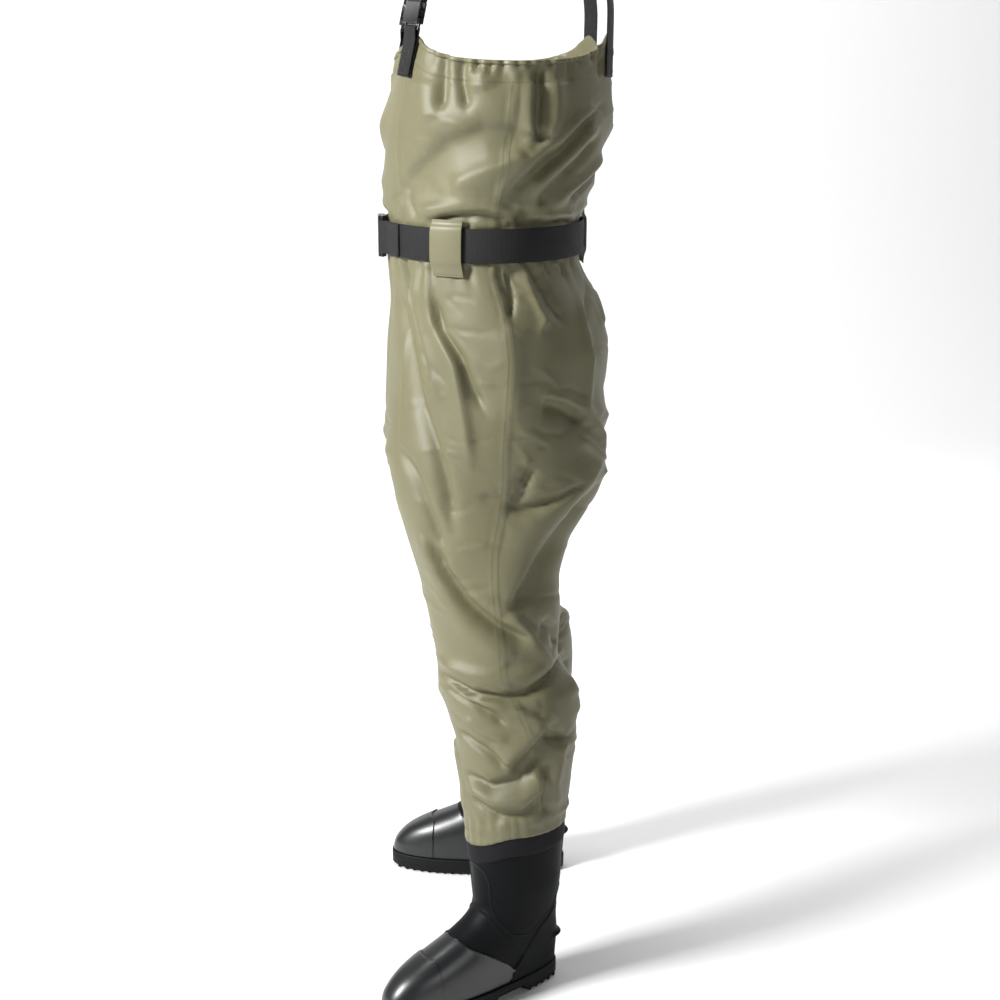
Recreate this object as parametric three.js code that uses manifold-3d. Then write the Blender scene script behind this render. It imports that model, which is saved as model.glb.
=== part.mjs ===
// Chest waders: a bib-and-trouser garment of coated cloth with bonded rubber boots, a waist belt
// with a side-release buckle, and two shoulder straps with side-release buckles and sliders.
// Millimetres, +Z up, the toes point along -Y and the wearer's left is +X. The lowest point of
// the boots is at Z 0 and the group is shifted so that the middle of its box stands over the origin.
import * as THREE from "three";
import { mergeVertices } from "three/addons/utils/BufferGeometryUtils.js";
import Module from "manifold-3d";

const wasm = await Module();
wasm.setup();

// ---- driving dimensions ----
const GAP = 0.3; // clearance between pieces that are sewn, bonded or seated on each other
const CLOTH = 1.5; // wall of the coated cloth panels
const ELASTIC = 1.2; // thickness of the hem elastic
const FACING = 1.0; // thickness of the turned-in hem facing
const TAPE = 1.0; // thickness of the seam tape
const TAPE_WIDTH = 22;
const COLUMNS = 10; // facets across one quarter of the garment

const HEM_Z = 1309; // lowest part of the top hem
const HEM_PEAK = 34; // how far the hem rises where a strap pulls it up
const RISE_FROM_Z = HEM_Z - 129; // the cloth below this height doesn't follow the hem's rise
const PEAK_SPREAD = 0.24; // half-width of that rise, in radians round the garment
const HEM_BAND = 30; // depth of the elastic casing
const TAPE_TOP_Z = HEM_Z - HEM_BAND - 11; // the seam tape ends short of the casing
const TORSO_JOIN_Z = 860; // the two leg tubes start to part below this height
const CROTCH_Z = 722;
const CROTCH_X = 102; // sideways centre of a leg at the crotch
const KNEE_TOP_Z = 520;
const KNEE_BOTTOM_Z = 420;
const KNEE_AXIS_Z = 470;
const CUFF_Z = 259.6; // the leg cloth ends here, on top of the boot band

const BELT_Z = 1075;
const BELT_WIDTH = 45;
const BELT_THICK = 2.2;
const BELT_CLEAR = 2.2; // the belt stands this far off the cloth
const BELT_BUCKLE_THICK = 11;
const BELT_TAIL = 0.84; // how far round the front the belt's free end reaches, in radians
const LOOP_WIDTH = 45;
const LOOP_MARGIN = 11; // cloth of a belt loop above the belt
const LOOP_DROP = 19; // and below it
const LOOP_ANGLES = [-26 * (Math.PI / 180), -154 * (Math.PI / 180), Math.PI / 2];
const KEEPER_ANGLE = 0.62; // round from the front, towards the wearer's right
const KEEPER_LENGTH = 9;

const STRAP_X = 95; // straps meet the hem this far to each side of the middle
const STRAP_WIDTH = 38;
const STRAP_THICK = 1.8;
const STRAP_BUCKLE_THICK = 10;
const STRAP_SEWN = 20; // length of strap sewn flat on the hem, below the straight top of the wall
const STRAP_BAR_AT = 42; // the lower buckle bar, along the strap from the same place
const STRAP_TAIL = 54; // free end of the strap above the upper buckle bar
const STRAP_FRONT_STRAIGHT = 56; // straight run above the upper buckle bar
const STRAP_BACK_STRAIGHT = 58; // straight run at the back
const ARCH_FRONT = 85; // pull of the shoulder arch at its front and back ends
const ARCH_BACK = 170;
const ADJUSTER_LENGTH = 12;
const ADJUSTER_AT = 15; // above the upper buckle bar

const BOOT_WALL = 2.5;
const OVERLAY = 1.8; // thickness of the toe cap and heel counter
const SOLE_EDGE = 4; // the sole stands out this far from the upper
const SOLE_TOP_Z = 26;
const TREAD = 12; // depth of the heel block and of the forefoot's tread
const ARCH = [-62, -5]; // the sole is thin between these two places along the foot
const BAND_LOW_Z = CUFF_Z - 27.6;
const BAND_THICK = 3.5;
const TOE_CAP_END = -152; // rear edge of the toe cap along the foot
const COUNTER_START = 20; // front edge of the heel counter along the foot
const COUNTER_TOP_Z = 98;
const SPUR_Z = 68; // kick-off ledge at the heel
const ANKLE_X = 185;
const LEFT = { name: "left", sign: 1, ankleY: 6, toeOut: 28 * (Math.PI / 180) };
const RIGHT = { name: "right", sign: -1, ankleY: 55, toeOut: 10 * (Math.PI / 180) };

// Level cuts through a boot: height, front and back along the foot from the ankle's axis,
// half-width at the ball of the foot and half-width at the heel.
const BOOT_CUTS = [
  [CUFF_Z + 13.4, -71, 71, 58.5, 58.5],
  [BAND_LOW_Z, -71, 72, 57, 58],
  [165, -65, 69, 51, 53],
  [140, -63, 66, 46, 48],
  [118, -84, 64, 40, 44],
  [100, -122, 64, 38, 42],
  [84, -160, 66, 41, 40],
  [68, -190, 67, 46, 38],
  [50, -210, 66, 49, 36],
  [36, -217, 65, 50, 36],
  [SOLE_TOP_Z, -217, 64, 49, 35],
];

// Sideways centre of a leg, from the crotch (0) to the ankle (1).
const legX = (share) => CROTCH_X + share * (ANKLE_X - CROTCH_X);

// Sections of one half of the garment, from the hem down: height, sideways centre, fore-and-aft
// centre, half-width and half-depth. Above TORSO_JOIN_Z both halves share one oval.
const SECTIONS = [
  [HEM_Z + HEM_PEAK + 2, 0, 8, 206, 146],
  [HEM_Z + 1, 0, 4, 208, 150],
  [HEM_Z - HEM_BAND - 9, 0, -0.5, 211, 154.5],
  [1230, 0, -5, 214, 159],
  [1180, 0, -12, 205, 152],
  [1125, 0, -21, 190, 141],
  [1098, 0, -24, 183.5, 136.7],
  [1052, 0, -24.5, 181.5, 136],
  [1030, 0, -22, 184, 137],
  [985, 0, -9, 196, 147],
  [925, 0, -3, 206, 159],
  [TORSO_JOIN_Z, 0, -7, 208, 158],
  [800, CROTCH_X - 50, -11, 156, 156],
  [760, CROTCH_X - 18, -11, 121, 153],
  [738, CROTCH_X - 8, -12, 110, 149],
  [CROTCH_Z, CROTCH_X, -14, 101, 144],
  [660, legX(0.12), -26, 94, 114],
  [610, legX(0.23), -26, 90, 99],
  [560, legX(0.35), -20, 87, 94],
  [KNEE_TOP_Z, legX(0.45), -17.5, 84, 89],
  [490, legX(0.52), -17, 82, 85],
  [455, legX(0.59), -4, 88, 97],
  [KNEE_BOTTOM_Z, legX(0.66), 4, 84, 93],
  [385, legX(0.73), 8, 80, 88],
  [340, legX(0.82), 8, 76, 83],
  [300, legX(0.91), 7, 71, 79],
  [CUFF_Z, legX(1), 6, 63.3, 76.3],
];

// ---- small tools ----
const lerp = (a, b, t) => a + (b - a) * t;
const clamp = (v, lo, hi) => Math.min(hi, Math.max(lo, v));
const smooth = (t) => t * t * (3 - 2 * t);
const vec = (x, y, z) => new THREE.Vector3(x, y, z);

function signedVolume(geometry) {
  const flat = geometry.index ? geometry.toNonIndexed() : geometry;
  const p = flat.attributes.position;
  const [a, b, c] = [vec(), vec(), vec()];
  let total = 0;
  for (let i = 0; i < p.count; i += 3) {
    a.fromBufferAttribute(p, i);
    b.fromBufferAttribute(p, i + 1);
    c.fromBufferAttribute(p, i + 2);
    total += a.dot(b.cross(c));
  }
  return total / 6;
}

// Turns every face round if they point inwards.
function outwards(geometry) {
  if (signedVolume(geometry) < 0) {
    const index = geometry.index.array;
    for (let i = 0; i < index.length; i += 3) [index[i + 1], index[i + 2]] = [index[i + 2], index[i + 1]];
  }
  return geometry;
}

// A geometry with merged corners whose faces point outwards.
function closed(geometry) {
  const bare = new THREE.BufferGeometry().setAttribute("position", geometry.attributes.position);
  if (geometry.index) bare.setIndex(geometry.index);
  return outwards(mergeVertices(bare, 1e-3));
}

function toSolid(geometry) {
  const g = closed(geometry);
  return new wasm.Manifold(
    new wasm.Mesh({
      numProp: 3,
      vertProperties: new Float32Array(g.attributes.position.array),
      triVerts: new Uint32Array(g.index.array),
    }),
  );
}

function toGeometry(solid) {
  const mesh = solid.getMesh();
  return new THREE.BufferGeometry()
    .setAttribute("position", new THREE.BufferAttribute(new Float32Array(mesh.vertProperties), 3))
    .setIndex(new THREE.BufferAttribute(new Uint32Array(mesh.triVerts), 1));
}

function fromTriangles(points, faces) {
  return new THREE.BufferGeometry()
    .setAttribute(
      "position",
      new THREE.BufferAttribute(new Float32Array(points.flatMap((p) => [p.x, p.y, p.z])), 3),
    )
    .setIndex(faces.flat());
}

// A closed tube through rings of points, capped with a fan at each end.
function skin(rings) {
  const count = rings[0].length;
  const points = rings.flat();
  const faces = [];
  for (let r = 0; r + 1 < rings.length; r++) {
    for (let k = 0; k < count; k++) {
      const [a, b] = [r * count + k, r * count + ((k + 1) % count)];
      faces.push([a, b, b + count], [a, b + count, a + count]);
    }
  }
  for (const [r, turn] of [[0, 1], [rings.length - 1, -1]]) {
    const centre = rings[r].reduce((sum, p) => sum.add(p), vec(0, 0, 0)).divideScalar(count);
    points.push(centre);
    for (let k = 0; k < count; k++) {
      const [a, b] = [r * count + k, r * count + ((k + 1) % count)];
      faces.push(turn > 0 ? [points.length - 1, b, a] : [points.length - 1, a, b]);
    }
  }
  return fromTriangles(points, faces);
}

// A wall of cloth: an outer and an inner grid of points joined round the edge. A ring's grid
// joins its last column to its first.
function wall(outer, inner, isRing) {
  const [rows, columns] = [outer.length, outer[0].length];
  const points = [...outer.flat(), ...inner.flat()];
  const at = (layer, r, c) => layer * rows * columns + r * columns + (c % columns);
  const faces = [];
  const quad = (a, b, c, d) => faces.push([a, b, c], [a, c, d]);
  const lastColumn = isRing ? columns : columns - 1;
  for (let r = 0; r + 1 < rows; r++) {
    for (let c = 0; c < lastColumn; c++) {
      quad(at(0, r, c), at(0, r + 1, c), at(0, r + 1, c + 1), at(0, r, c + 1));
      quad(at(1, r, c), at(1, r, c + 1), at(1, r + 1, c + 1), at(1, r + 1, c));
    }
  }
  for (let c = 0; c < lastColumn; c++) {
    quad(at(0, 0, c), at(0, 0, c + 1), at(1, 0, c + 1), at(1, 0, c));
    quad(at(0, rows - 1, c), at(1, rows - 1, c), at(1, rows - 1, c + 1), at(0, rows - 1, c + 1));
  }
  if (!isRing) {
    for (let r = 0; r + 1 < rows; r++) {
      quad(at(0, r, 0), at(1, r, 0), at(1, r + 1, 0), at(0, r + 1, 0));
      quad(at(0, r, columns - 1), at(0, r + 1, columns - 1), at(1, r + 1, columns - 1), at(1, r, columns - 1));
    }
  }
  return fromTriangles(points, faces);
}

// A flat strip along stations of {at, across, out}: a rectangular section, width by thickness.
function ribbon(stations, width, thickness) {
  return skin(
    stations.map(({ at, across, out }) =>
      [[-1, 0], [1, 0], [1, 1], [-1, 1]].map(([w, t]) =>
        at.clone().addScaledVector(across, (w * width) / 2).addScaledVector(out, t * thickness),
      ),
    ),
  );
}

function box(xs, ys, zs) {
  const geometry = new THREE.BoxGeometry(xs[1] - xs[0], ys[1] - ys[0], zs[1] - zs[0]);
  geometry.translate((xs[0] + xs[1]) / 2, (ys[0] + ys[1]) / 2, (zs[0] + zs[1]) / 2);
  return toSolid(geometry);
}

// ---- materials ----
const MATERIALS = {
  cloth: new THREE.MeshStandardMaterial({ color: 0x8e8a6c, roughness: 0.48, metalness: 0 }),
  lining: new THREE.MeshStandardMaterial({ color: 0x77745c, roughness: 0.7, metalness: 0 }),
  webbing: new THREE.MeshStandardMaterial({ color: 0x2b2b2a, roughness: 0.75, metalness: 0 }),
  elastic: new THREE.MeshStandardMaterial({ color: 0xd8d6cc, roughness: 0.8, metalness: 0 }),
  plastic: new THREE.MeshStandardMaterial({ color: 0x18181a, roughness: 0.4, metalness: 0 }),
  rubber: new THREE.MeshStandardMaterial({ color: 0x16191a, roughness: 0.35, metalness: 0 }),
  soleRubber: new THREE.MeshStandardMaterial({ color: 0x121313, roughness: 0.6, metalness: 0 }),
  band: new THREE.MeshStandardMaterial({ color: 0x2c2a2e, roughness: 0.65, metalness: 0 }),
  insole: new THREE.MeshStandardMaterial({ color: 0x3c3f42, roughness: 0.9, metalness: 0 }),
};

const waders = new THREE.Group();

// Adds a named piece. A right-hand piece is the mirror image of the left-hand shape it is given.
function add(name, shape, material, side = LEFT, place = null) {
  const geometry = shape.isBufferGeometry ? closed(shape) : toGeometry(shape);
  if (place) geometry.applyMatrix4(place);
  if (side.sign < 0) geometry.scale(-1, 1, 1);
  const mesh = new THREE.Mesh(outwards(geometry), material);
  mesh.name = name;
  waders.add(mesh);
  return mesh;
}

// Notes on a moving piece's mesh: a point on its axis and the axis's direction.
function moves(mesh, place, side, point, direction) {
  const at = point.clone().applyMatrix4(place);
  const axis = direction.clone().transformDirection(place);
  mesh.userData.motion = { at: [at.x * side.sign, at.y, at.z], axis: [axis.x * side.sign, axis.y, axis.z] };
}

// ---- the garment ----
// One half of the garment at a height: its oval, and how far round it is turned by the boot.
function sectionAt(z, side) {
  let k = 0;
  while (k < SECTIONS.length - 2 && SECTIONS[k + 1][0] > z) k++;
  const [upper, lower] = [SECTIONS[k], SECTIONS[k + 1]];
  const t = clamp((upper[0] - z) / (upper[0] - lower[0]), 0, 1);
  const [, cx, cy, rx, ry] = upper.map((v, i) => lerp(v, lower[i], t));
  const down = clamp((CROTCH_Z - z) / (CROTCH_Z - CUFF_Z), 0, 1);
  const turn = side.toeOut * smooth(clamp((KNEE_TOP_Z - z) / (KNEE_TOP_Z - 240), 0, 1));
  return { cx, cy: cy + (side.ankleY - LEFT.ankleY) * down, rx, ry, turn };
}

// A point of the garment's outer surface, moved inwards by depth. The angle is 0 at the side
// seam, negative to the front and positive to the back.
function clothPoint(z, angle, depth, side) {
  const s = sectionAt(z, side);
  const [x, y] = [(s.rx - depth) * Math.cos(angle), (s.ry - depth) * Math.sin(angle)];
  const [c, n] = [Math.cos(s.turn), Math.sin(s.turn)];
  return vec(s.cx + x * c - y * n, s.cy + x * n + y * c, z);
}

// The angle at which one half of the garment meets the middle plane, or the inseam below the crotch.
function innerAngle(z, depth, side) {
  const s = sectionAt(z, side);
  const rx = s.rx - depth;
  const seam = Math.PI - GAP / 2 / s.ry;
  return Math.min(Math.acos(clamp((GAP / 2 - s.cx) / rx, -1, 1)), seam);
}

const strapAngle = Math.acos(STRAP_X / sectionAt(HEM_Z, LEFT).rx);

// The hem rises to a peak under each strap, and level rows of the cloth near it follow the rise.
function hemRise(angle) {
  const off = (Math.asin(Math.abs(Math.sin(angle))) - strapAngle) / PEAK_SPREAD;
  return HEM_PEAK * Math.exp(-off * off);
}

function rowHeight(z, angle) {
  return z + hemRise(angle) * smooth(clamp((z - RISE_FROM_Z) / (HEM_Z - RISE_FROM_Z), 0, 1));
}

// The grid of one quarter of the garment: facing is -1 for the front and 1 for the back.
function panelGrid(heights, facing, depth, side) {
  return heights.map((z) => {
    const seam = GAP / 2 / sectionAt(z, side).ry;
    const inner = innerAngle(z, depth, side);
    return Array.from({ length: COLUMNS + 1 }, (_, c) => {
      const angle = facing * lerp(inner, seam, c / COLUMNS);
      return clothPoint(rowHeight(z, angle), angle, depth, side);
    });
  });
}

function panel(heights, facing, side) {
  return wall(panelGrid(heights, facing, 0, side), panelGrid(heights, facing, CLOTH, side), false);
}

// A ring inside the hem, between two drops below its edge, at a depth inside the cloth.
function hemRing(topDrop, bottomDrop, depth, thickness) {
  const steps = COLUMNS * 4;
  const grid = (d) =>
    [topDrop, bottomDrop].map((drop) =>
      Array.from({ length: steps }, (_, k) => {
        const angle = (k / steps) * 2 * Math.PI;
        return clothPoint(HEM_Z - drop + hemRise(angle), angle, d, LEFT);
      }),
    );
  return wall(grid(depth), grid(depth + thickness), true);
}

const between = (top, bottom) => SECTIONS.map(([z]) => z).filter((z) => z < top && z > bottom);
const thighRows = [HEM_Z, ...between(HEM_Z, KNEE_TOP_Z), KNEE_TOP_Z];
const shinRows = [KNEE_BOTTOM_Z, ...between(KNEE_BOTTOM_Z, CUFF_Z), CUFF_Z];
const kneeRows = [KNEE_TOP_Z - GAP, ...between(KNEE_TOP_Z, KNEE_BOTTOM_Z), KNEE_BOTTOM_Z + GAP];
const tapeRows = [TAPE_TOP_Z, ...between(TAPE_TOP_Z, KNEE_TOP_Z)];
const tapeDepth = CLOTH + GAP;

for (const side of [LEFT, RIGHT]) {
  add(`${side.name}_front_panel`, panel(thighRows, -1, side), MATERIALS.cloth, side);
  add(`${side.name}_back_panel`, panel(thighRows, 1, side), MATERIALS.cloth, side);
  add(`${side.name}_shin_front_panel`, panel(shinRows, -1, side), MATERIALS.cloth, side);
  add(`${side.name}_shin_back_panel`, panel(shinRows, 1, side), MATERIALS.cloth, side);

  const kneeGrid = (depth) =>
    kneeRows.map((z) =>
      Array.from({ length: COLUMNS * 2 }, (_, k) => clothPoint(z, (k / COLUMNS) * Math.PI, depth, side)),
    );
  const knee = add(`${side.name}_knee_cloth`, wall(kneeGrid(0), kneeGrid(CLOTH), true), MATERIALS.cloth, side);
  const bend = sectionAt(KNEE_AXIS_Z, side);
  moves(knee, new THREE.Matrix4(), side, vec(bend.cx, bend.cy, KNEE_AXIS_Z), vec(1, 0, 0));

  // The tape follows the flat facets of the cloth each side of the seam.
  const tapeGrid = (depth) =>
    tapeRows.map((z) =>
      [-1, 0, 1].map((turn) => {
        const seam = clothPoint(z, 0, depth, side);
        const facetEnd = clothPoint(z, (turn * innerAngle(z, depth, side)) / COLUMNS, depth, side);
        const reach = turn === 0 ? 0 : TAPE_WIDTH / 2 / seam.distanceTo(facetEnd);
        return seam.lerp(facetEnd, reach);
      }),
    );
  const tape = wall(tapeGrid(tapeDepth), tapeGrid(tapeDepth + TAPE), false);
  add(`${side.name}_seam_tape`, tape, MATERIALS.lining, side);
}

add("hem_elastic", hemRing(3, HEM_BAND - 3, CLOTH + GAP, ELASTIC), MATERIALS.elastic);
add("hem_facing", hemRing(1, HEM_BAND, CLOTH + 2 * GAP + ELASTIC, FACING), MATERIALS.lining);

// ---- side-release buckles ----
// Built round the strap's line: X across, Y outwards, Z along the strap towards the half that
// pulls out. The mouth of the socket half is at Z 0. Each spring arm of the plug half turns
// inwards about Y at its root, which takes its barb out of the window in the socket's side.
const BAR = 3.2; // bars that the webbing is sewn round
const BAR_SLOT = 5; // gap behind each bar
const TURN_RADIUS = (BAR / 2) * Math.SQRT2 + GAP; // inside of the webbing's turn round a bar

function buckle(web, thick) {
  const half = web / 2 + 6; // half-width of the socket half
  const faceWall = 2;
  const sideWall = 2.5;
  const length = thick * 2.8; // length of the socket half without its bar
  const arm = length * 0.8;
  const stem = thick * 1.5; // length of the half that pulls out, outside the socket
  const armClear = 0.5; // each side of a spring arm, between the socket's faces
  const [low, high] = [-thick / 2, thick / 2];
  const cavity = half - sideWall;
  const window = [-arm * 0.92, -arm * 0.5];
  const loopHalf = web / 2 + 1;

  const yoke = (width, from, to) => {
    const frame = box([-width, width], [-BAR / 2, BAR / 2], [Math.min(from, to), Math.max(from, to)]);
    const inner = to > from ? [from, to - BAR] : [to + BAR, from];
    return frame.subtract(box([-loopHalf, loopHalf], [-BAR, BAR], inner));
  };
  let socket = box([-half, half], [low, high], [-length, 0]);
  socket = socket.subtract(box([-cavity, cavity], [low + faceWall, high - faceWall], [-length + faceWall, 1]));
  socket = socket.subtract(box([-half - 1, half + 1], [low + faceWall, high - faceWall], window));
  socket = socket.add(yoke(half, -length, -length - BAR_SLOT - BAR));

  const flange = half - 1;
  let plug = box([-flange, flange], [low, high], [GAP, stem]);
  const tongue = [low + faceWall + armClear, high - faceWall - armClear];
  plug = plug.add(box([-3.5, 3.5], tongue, [-arm, stem / 2]));
  plug = plug.add(yoke(flange, stem, stem + BAR_SLOT + BAR));

  const root = cavity * 0.62;
  const width = 1.8; // half-width of a spring arm
  const outline = [
    [root - width / 2, 0],
    [root + width / 2, 0],
    [root + width, -1.5],
    [root + width, window[1] - 0.6],
    [half - 0.5, window[1] - 0.6],
    [half - 0.8, window[0] + 2.5],
    [cavity - 1.4, window[0] + 0.7],
    [root, -arm],
    [root - width, window[0] + 2],
    [root - width, -1.5],
  ];
  const depth = thick - 2 * (faceWall + armClear);
  const shape = new THREE.Shape(outline.map(([x, z]) => new THREE.Vector2(x, z)));
  const outerArm = new THREE.ExtrudeGeometry(shape, { depth, bevelEnabled: false });
  outerArm.applyMatrix4(new THREE.Matrix4().makeBasis(vec(1, 0, 0), vec(0, 0, 1), vec(0, -1, 0)));
  outerArm.translate(0, depth / 2, 0);
  return {
    socket,
    plug,
    arms: [outerArm, outerArm.clone().scale(-1, 1, 1)],
    root,
    socketBar: -length - BAR_SLOT - BAR / 2,
    plugBar: stem + BAR_SLOT + BAR / 2,
  };
}

function addBuckle(prefix, parts, side, place, armNames) {
  add(`${prefix}_buckle_socket`, parts.socket, MATERIALS.plastic, side, place);
  add(`${prefix}_buckle_plug`, parts.plug, MATERIALS.plastic, side, place);
  parts.arms.forEach((arm, k) => {
    const mesh = add(`${prefix}_buckle_${armNames[k]}_arm`, arm, MATERIALS.plastic, side, place);
    const turn = k === 0 ? 1 : -1;
    moves(mesh, place, side, vec(turn * parts.root, 0, -1), vec(0, turn * side.sign, 0));
  });
}

// A turn of webbing round a buckle bar, from the run nearer the body to the run outside it.
function barTurn(centre, outwardsDirection, away, across) {
  const steps = 6;
  return Array.from({ length: steps + 1 }, (_, k) => {
    const a = (k / steps) * Math.PI;
    const out = outwardsDirection.clone().multiplyScalar(-Math.cos(a)).addScaledVector(away, Math.sin(a));
    return { at: centre.clone().addScaledVector(out, TURN_RADIUS), across, out };
  });
}

// ---- the waist belt ----
const up = vec(0, 0, 1);
const beltTop = BELT_Z + BELT_WIDTH / 2;
const waist = sectionAt(beltTop, LEFT);
const beltRx = waist.rx + BELT_CLEAR;
const beltRy = waist.ry + BELT_CLEAR;
const beltBuckle = buckle(BELT_WIDTH, BELT_BUCKLE_THICK);
const buckleY = waist.cy - waist.ry - GAP * 2 - BELT_BUCKLE_THICK / 2;
const beltPlace = new THREE.Matrix4()
  .makeBasis(up, vec(0, -1, 0), vec(1, 0, 0))
  .setPosition(0, buckleY, BELT_Z);
addBuckle("belt", beltBuckle, RIGHT, beltPlace, ["upper", "lower"]);

// The belt is drawn for the left side and mirrored, so its free end lies on the wearer's right.
// A place on the drawn belt: its angle from the front, positive towards the left.
function beltStation(fromFront, lift, inwards) {
  const angle = fromFront - Math.PI / 2;
  const at = vec((beltRx + lift) * Math.cos(angle), waist.cy + (beltRy + lift) * Math.sin(angle), BELT_Z);
  const out = vec(Math.cos(angle) / beltRx, Math.sin(angle) / beltRy, 0).normalize();
  return { at, across: up, out: inwards ? out.negate() : out };
}

const beltEnds = 52 / beltRx; // the belt leaves its oval this far each side of the front
const tailLift = BELT_THICK + 0.7;
const tailFrom = 0.3;
const runSteps = 40;
const beltRun = Array.from({ length: runSteps + 1 }, (_, k) =>
  beltStation(lerp(beltEnds, 2 * Math.PI - beltEnds, k / runSteps), BELT_THICK, true),
);
const frontwards = vec(0, -1, 0);
const plugTurn = barTurn(vec(beltBuckle.plugBar, buckleY, BELT_Z), frontwards, vec(-1, 0, 0), up);
const socketTurn = barTurn(vec(beltBuckle.socketBar, buckleY, BELT_Z), frontwards, vec(1, 0, 0), up);
const tail = (sign, end) => {
  const steps = Math.round((end - tailFrom) / 0.12);
  return Array.from({ length: steps + 1 }, (_, k) =>
    beltStation(sign * lerp(tailFrom, end, k / steps), tailLift, false),
  );
};
const beltPath = [
  ...tail(1, BELT_TAIL).reverse(),
  ...plugTurn.reverse(),
  ...beltRun,
  ...socketTurn,
  ...tail(-1, 0.54),
];
add("belt_webbing", ribbon(beltPath, BELT_WIDTH, BELT_THICK), MATERIALS.webbing, RIGHT);

// The keeper holds the belt's free end down and slides along it.
const keeperSeat = beltStation(KEEPER_ANGLE, 0, false);
const keeperPlace = new THREE.Matrix4()
  .makeBasis(up, keeperSeat.out, new THREE.Vector3().crossVectors(up, keeperSeat.out))
  .setPosition(keeperSeat.at);
const keeperWall = 0.8;
const keeperClear = 0.5;
const keeperDrop = 0.45; // more room inside, where the belt curves away from the keeper's straight path
const stack = [-keeperClear - keeperDrop, tailLift + BELT_THICK + keeperClear];
const keeperHalf = BELT_WIDTH / 2 + keeperClear;
const keeperSpan = [-KEEPER_LENGTH / 2, KEEPER_LENGTH / 2];
const keeper = box(
  [-keeperHalf - keeperWall * 2, keeperHalf + keeperWall * 2],
  [stack[0] - keeperWall, stack[1] + keeperWall * 2],
  keeperSpan,
).subtract(box([-keeperHalf, keeperHalf], stack, [-KEEPER_LENGTH, KEEPER_LENGTH]));
const keeperMesh = add("belt_keeper", keeper, MATERIALS.webbing, RIGHT, keeperPlace);
moves(keeperMesh, keeperPlace, RIGHT, vec(0, 0, 0), vec(0, 0, 1));

// Cloth loops over the belt, sewn down above and below it.
const loopLift = BELT_CLEAR * 2 + BELT_THICK + 1;
const loopTop = beltTop + LOOP_MARGIN;
const loopBottom = BELT_Z - BELT_WIDTH / 2 - LOOP_DROP;
const loopRows = [
  [loopTop, GAP],
  [loopTop - 6, GAP],
  [beltTop + 2, loopLift],
  [BELT_Z * 2 - beltTop - 2, loopLift],
  [loopBottom + 6, GAP],
  [loopBottom, GAP],
];
LOOP_ANGLES.forEach((angle, k) => {
  const along = Math.hypot(waist.rx * Math.sin(angle), waist.ry * Math.cos(angle));
  const spread = LOOP_WIDTH / 2 / along;
  const grid = (lift) =>
    loopRows.map(([z, l]) =>
      [-1, -0.5, 0, 0.5, 1].map((c) => clothPoint(z, angle + c * spread, -l - lift, LEFT)),
    );
  add(`${["left", "right", "back"][k]}_belt_loop`, wall(grid(CLOTH), grid(0), false), MATERIALS.cloth);
});

// ---- shoulder straps ----
// The straight line of a strap where it leaves the hem: origin on the cloth, along the strap,
// across it and outwards. Facing is -1 for the front and 1 for the back.
function strapLine(facing) {
  const origin = clothPoint(SECTIONS[1][0], facing * strapAngle, 0, LEFT);
  const along = clothPoint(SECTIONS[0][0], facing * strapAngle, 0, LEFT).sub(origin).normalize();
  const ahead = clothPoint(SECTIONS[1][0], facing * (strapAngle - 0.01), 0, LEFT).sub(origin);
  const across = ahead.addScaledVector(along, -ahead.dot(along)).normalize();
  const outward = new THREE.Vector3().crossVectors(across, along).multiplyScalar(-facing);
  return { origin, along, across, outward };
}

const strapBuckle = buckle(STRAP_WIDTH, STRAP_BUCKLE_THICK);
const midPlane = GAP + STRAP_THICK + TURN_RADIUS; // the buckle's mid-plane above the cloth
const mouthAt = STRAP_BAR_AT - strapBuckle.socketBar;
const plugBarAt = mouthAt + strapBuckle.plugBar;
const front = strapLine(-1);
const back = strapLine(1);
const onLine = (line, s, lift) =>
  line.origin.clone().addScaledVector(line.along, s).addScaledVector(line.outward, lift);
const station = (line, s, lift, inwards) => ({
  at: onLine(line, s, lift),
  across: line.across,
  out: line.outward.clone().multiplyScalar(inwards ? -1 : 1),
});
const innerLift = midPlane - TURN_RADIUS; // outer face of the run that lies against the cloth
const layerGap = 1.6; // between the two layers once they close up
const closedLift = innerLift + layerGap;

const tab = ribbon(
  [
    station(front, -STRAP_SEWN, innerLift, true),
    station(front, STRAP_BAR_AT - 8, innerLift, true),
    ...barTurn(onLine(front, STRAP_BAR_AT, midPlane), front.outward, front.along, front.across),
    station(front, STRAP_BAR_AT - 14, closedLift, false),
    station(front, -STRAP_SEWN, closedLift, false),
  ],
  STRAP_WIDTH,
  STRAP_THICK,
);

const archSteps = 18;
const archStart = onLine(front, plugBarAt + STRAP_FRONT_STRAIGHT, innerLift);
const archEnd = onLine(back, STRAP_BACK_STRAIGHT, innerLift);
const arch = new THREE.CubicBezierCurve3(
  archStart,
  archStart.clone().addScaledVector(front.along, ARCH_FRONT),
  archEnd.clone().addScaledVector(back.along, ARCH_BACK),
  archEnd,
);
const archStations = Array.from({ length: archSteps + 1 }, (_, k) => {
  const t = k / archSteps;
  const tangent = arch.getTangent(t);
  const across = front.across.clone().lerp(back.across, smooth(t));
  across.addScaledVector(tangent, -across.dot(tangent)).normalize();
  return { at: arch.getPoint(t), across, out: new THREE.Vector3().crossVectors(tangent, across) };
});
const strap = ribbon(
  [
    station(front, plugBarAt + STRAP_TAIL, closedLift, false),
    station(front, plugBarAt + 10, closedLift, false),
    ...barTurn(
      onLine(front, plugBarAt, midPlane),
      front.outward,
      front.along.clone().negate(),
      front.across,
    ).reverse(),
    station(front, plugBarAt + 10, innerLift, true),
    ...archStations,
    station(back, -STRAP_SEWN, innerLift, true),
  ],
  STRAP_WIDTH,
  STRAP_THICK,
);

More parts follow.
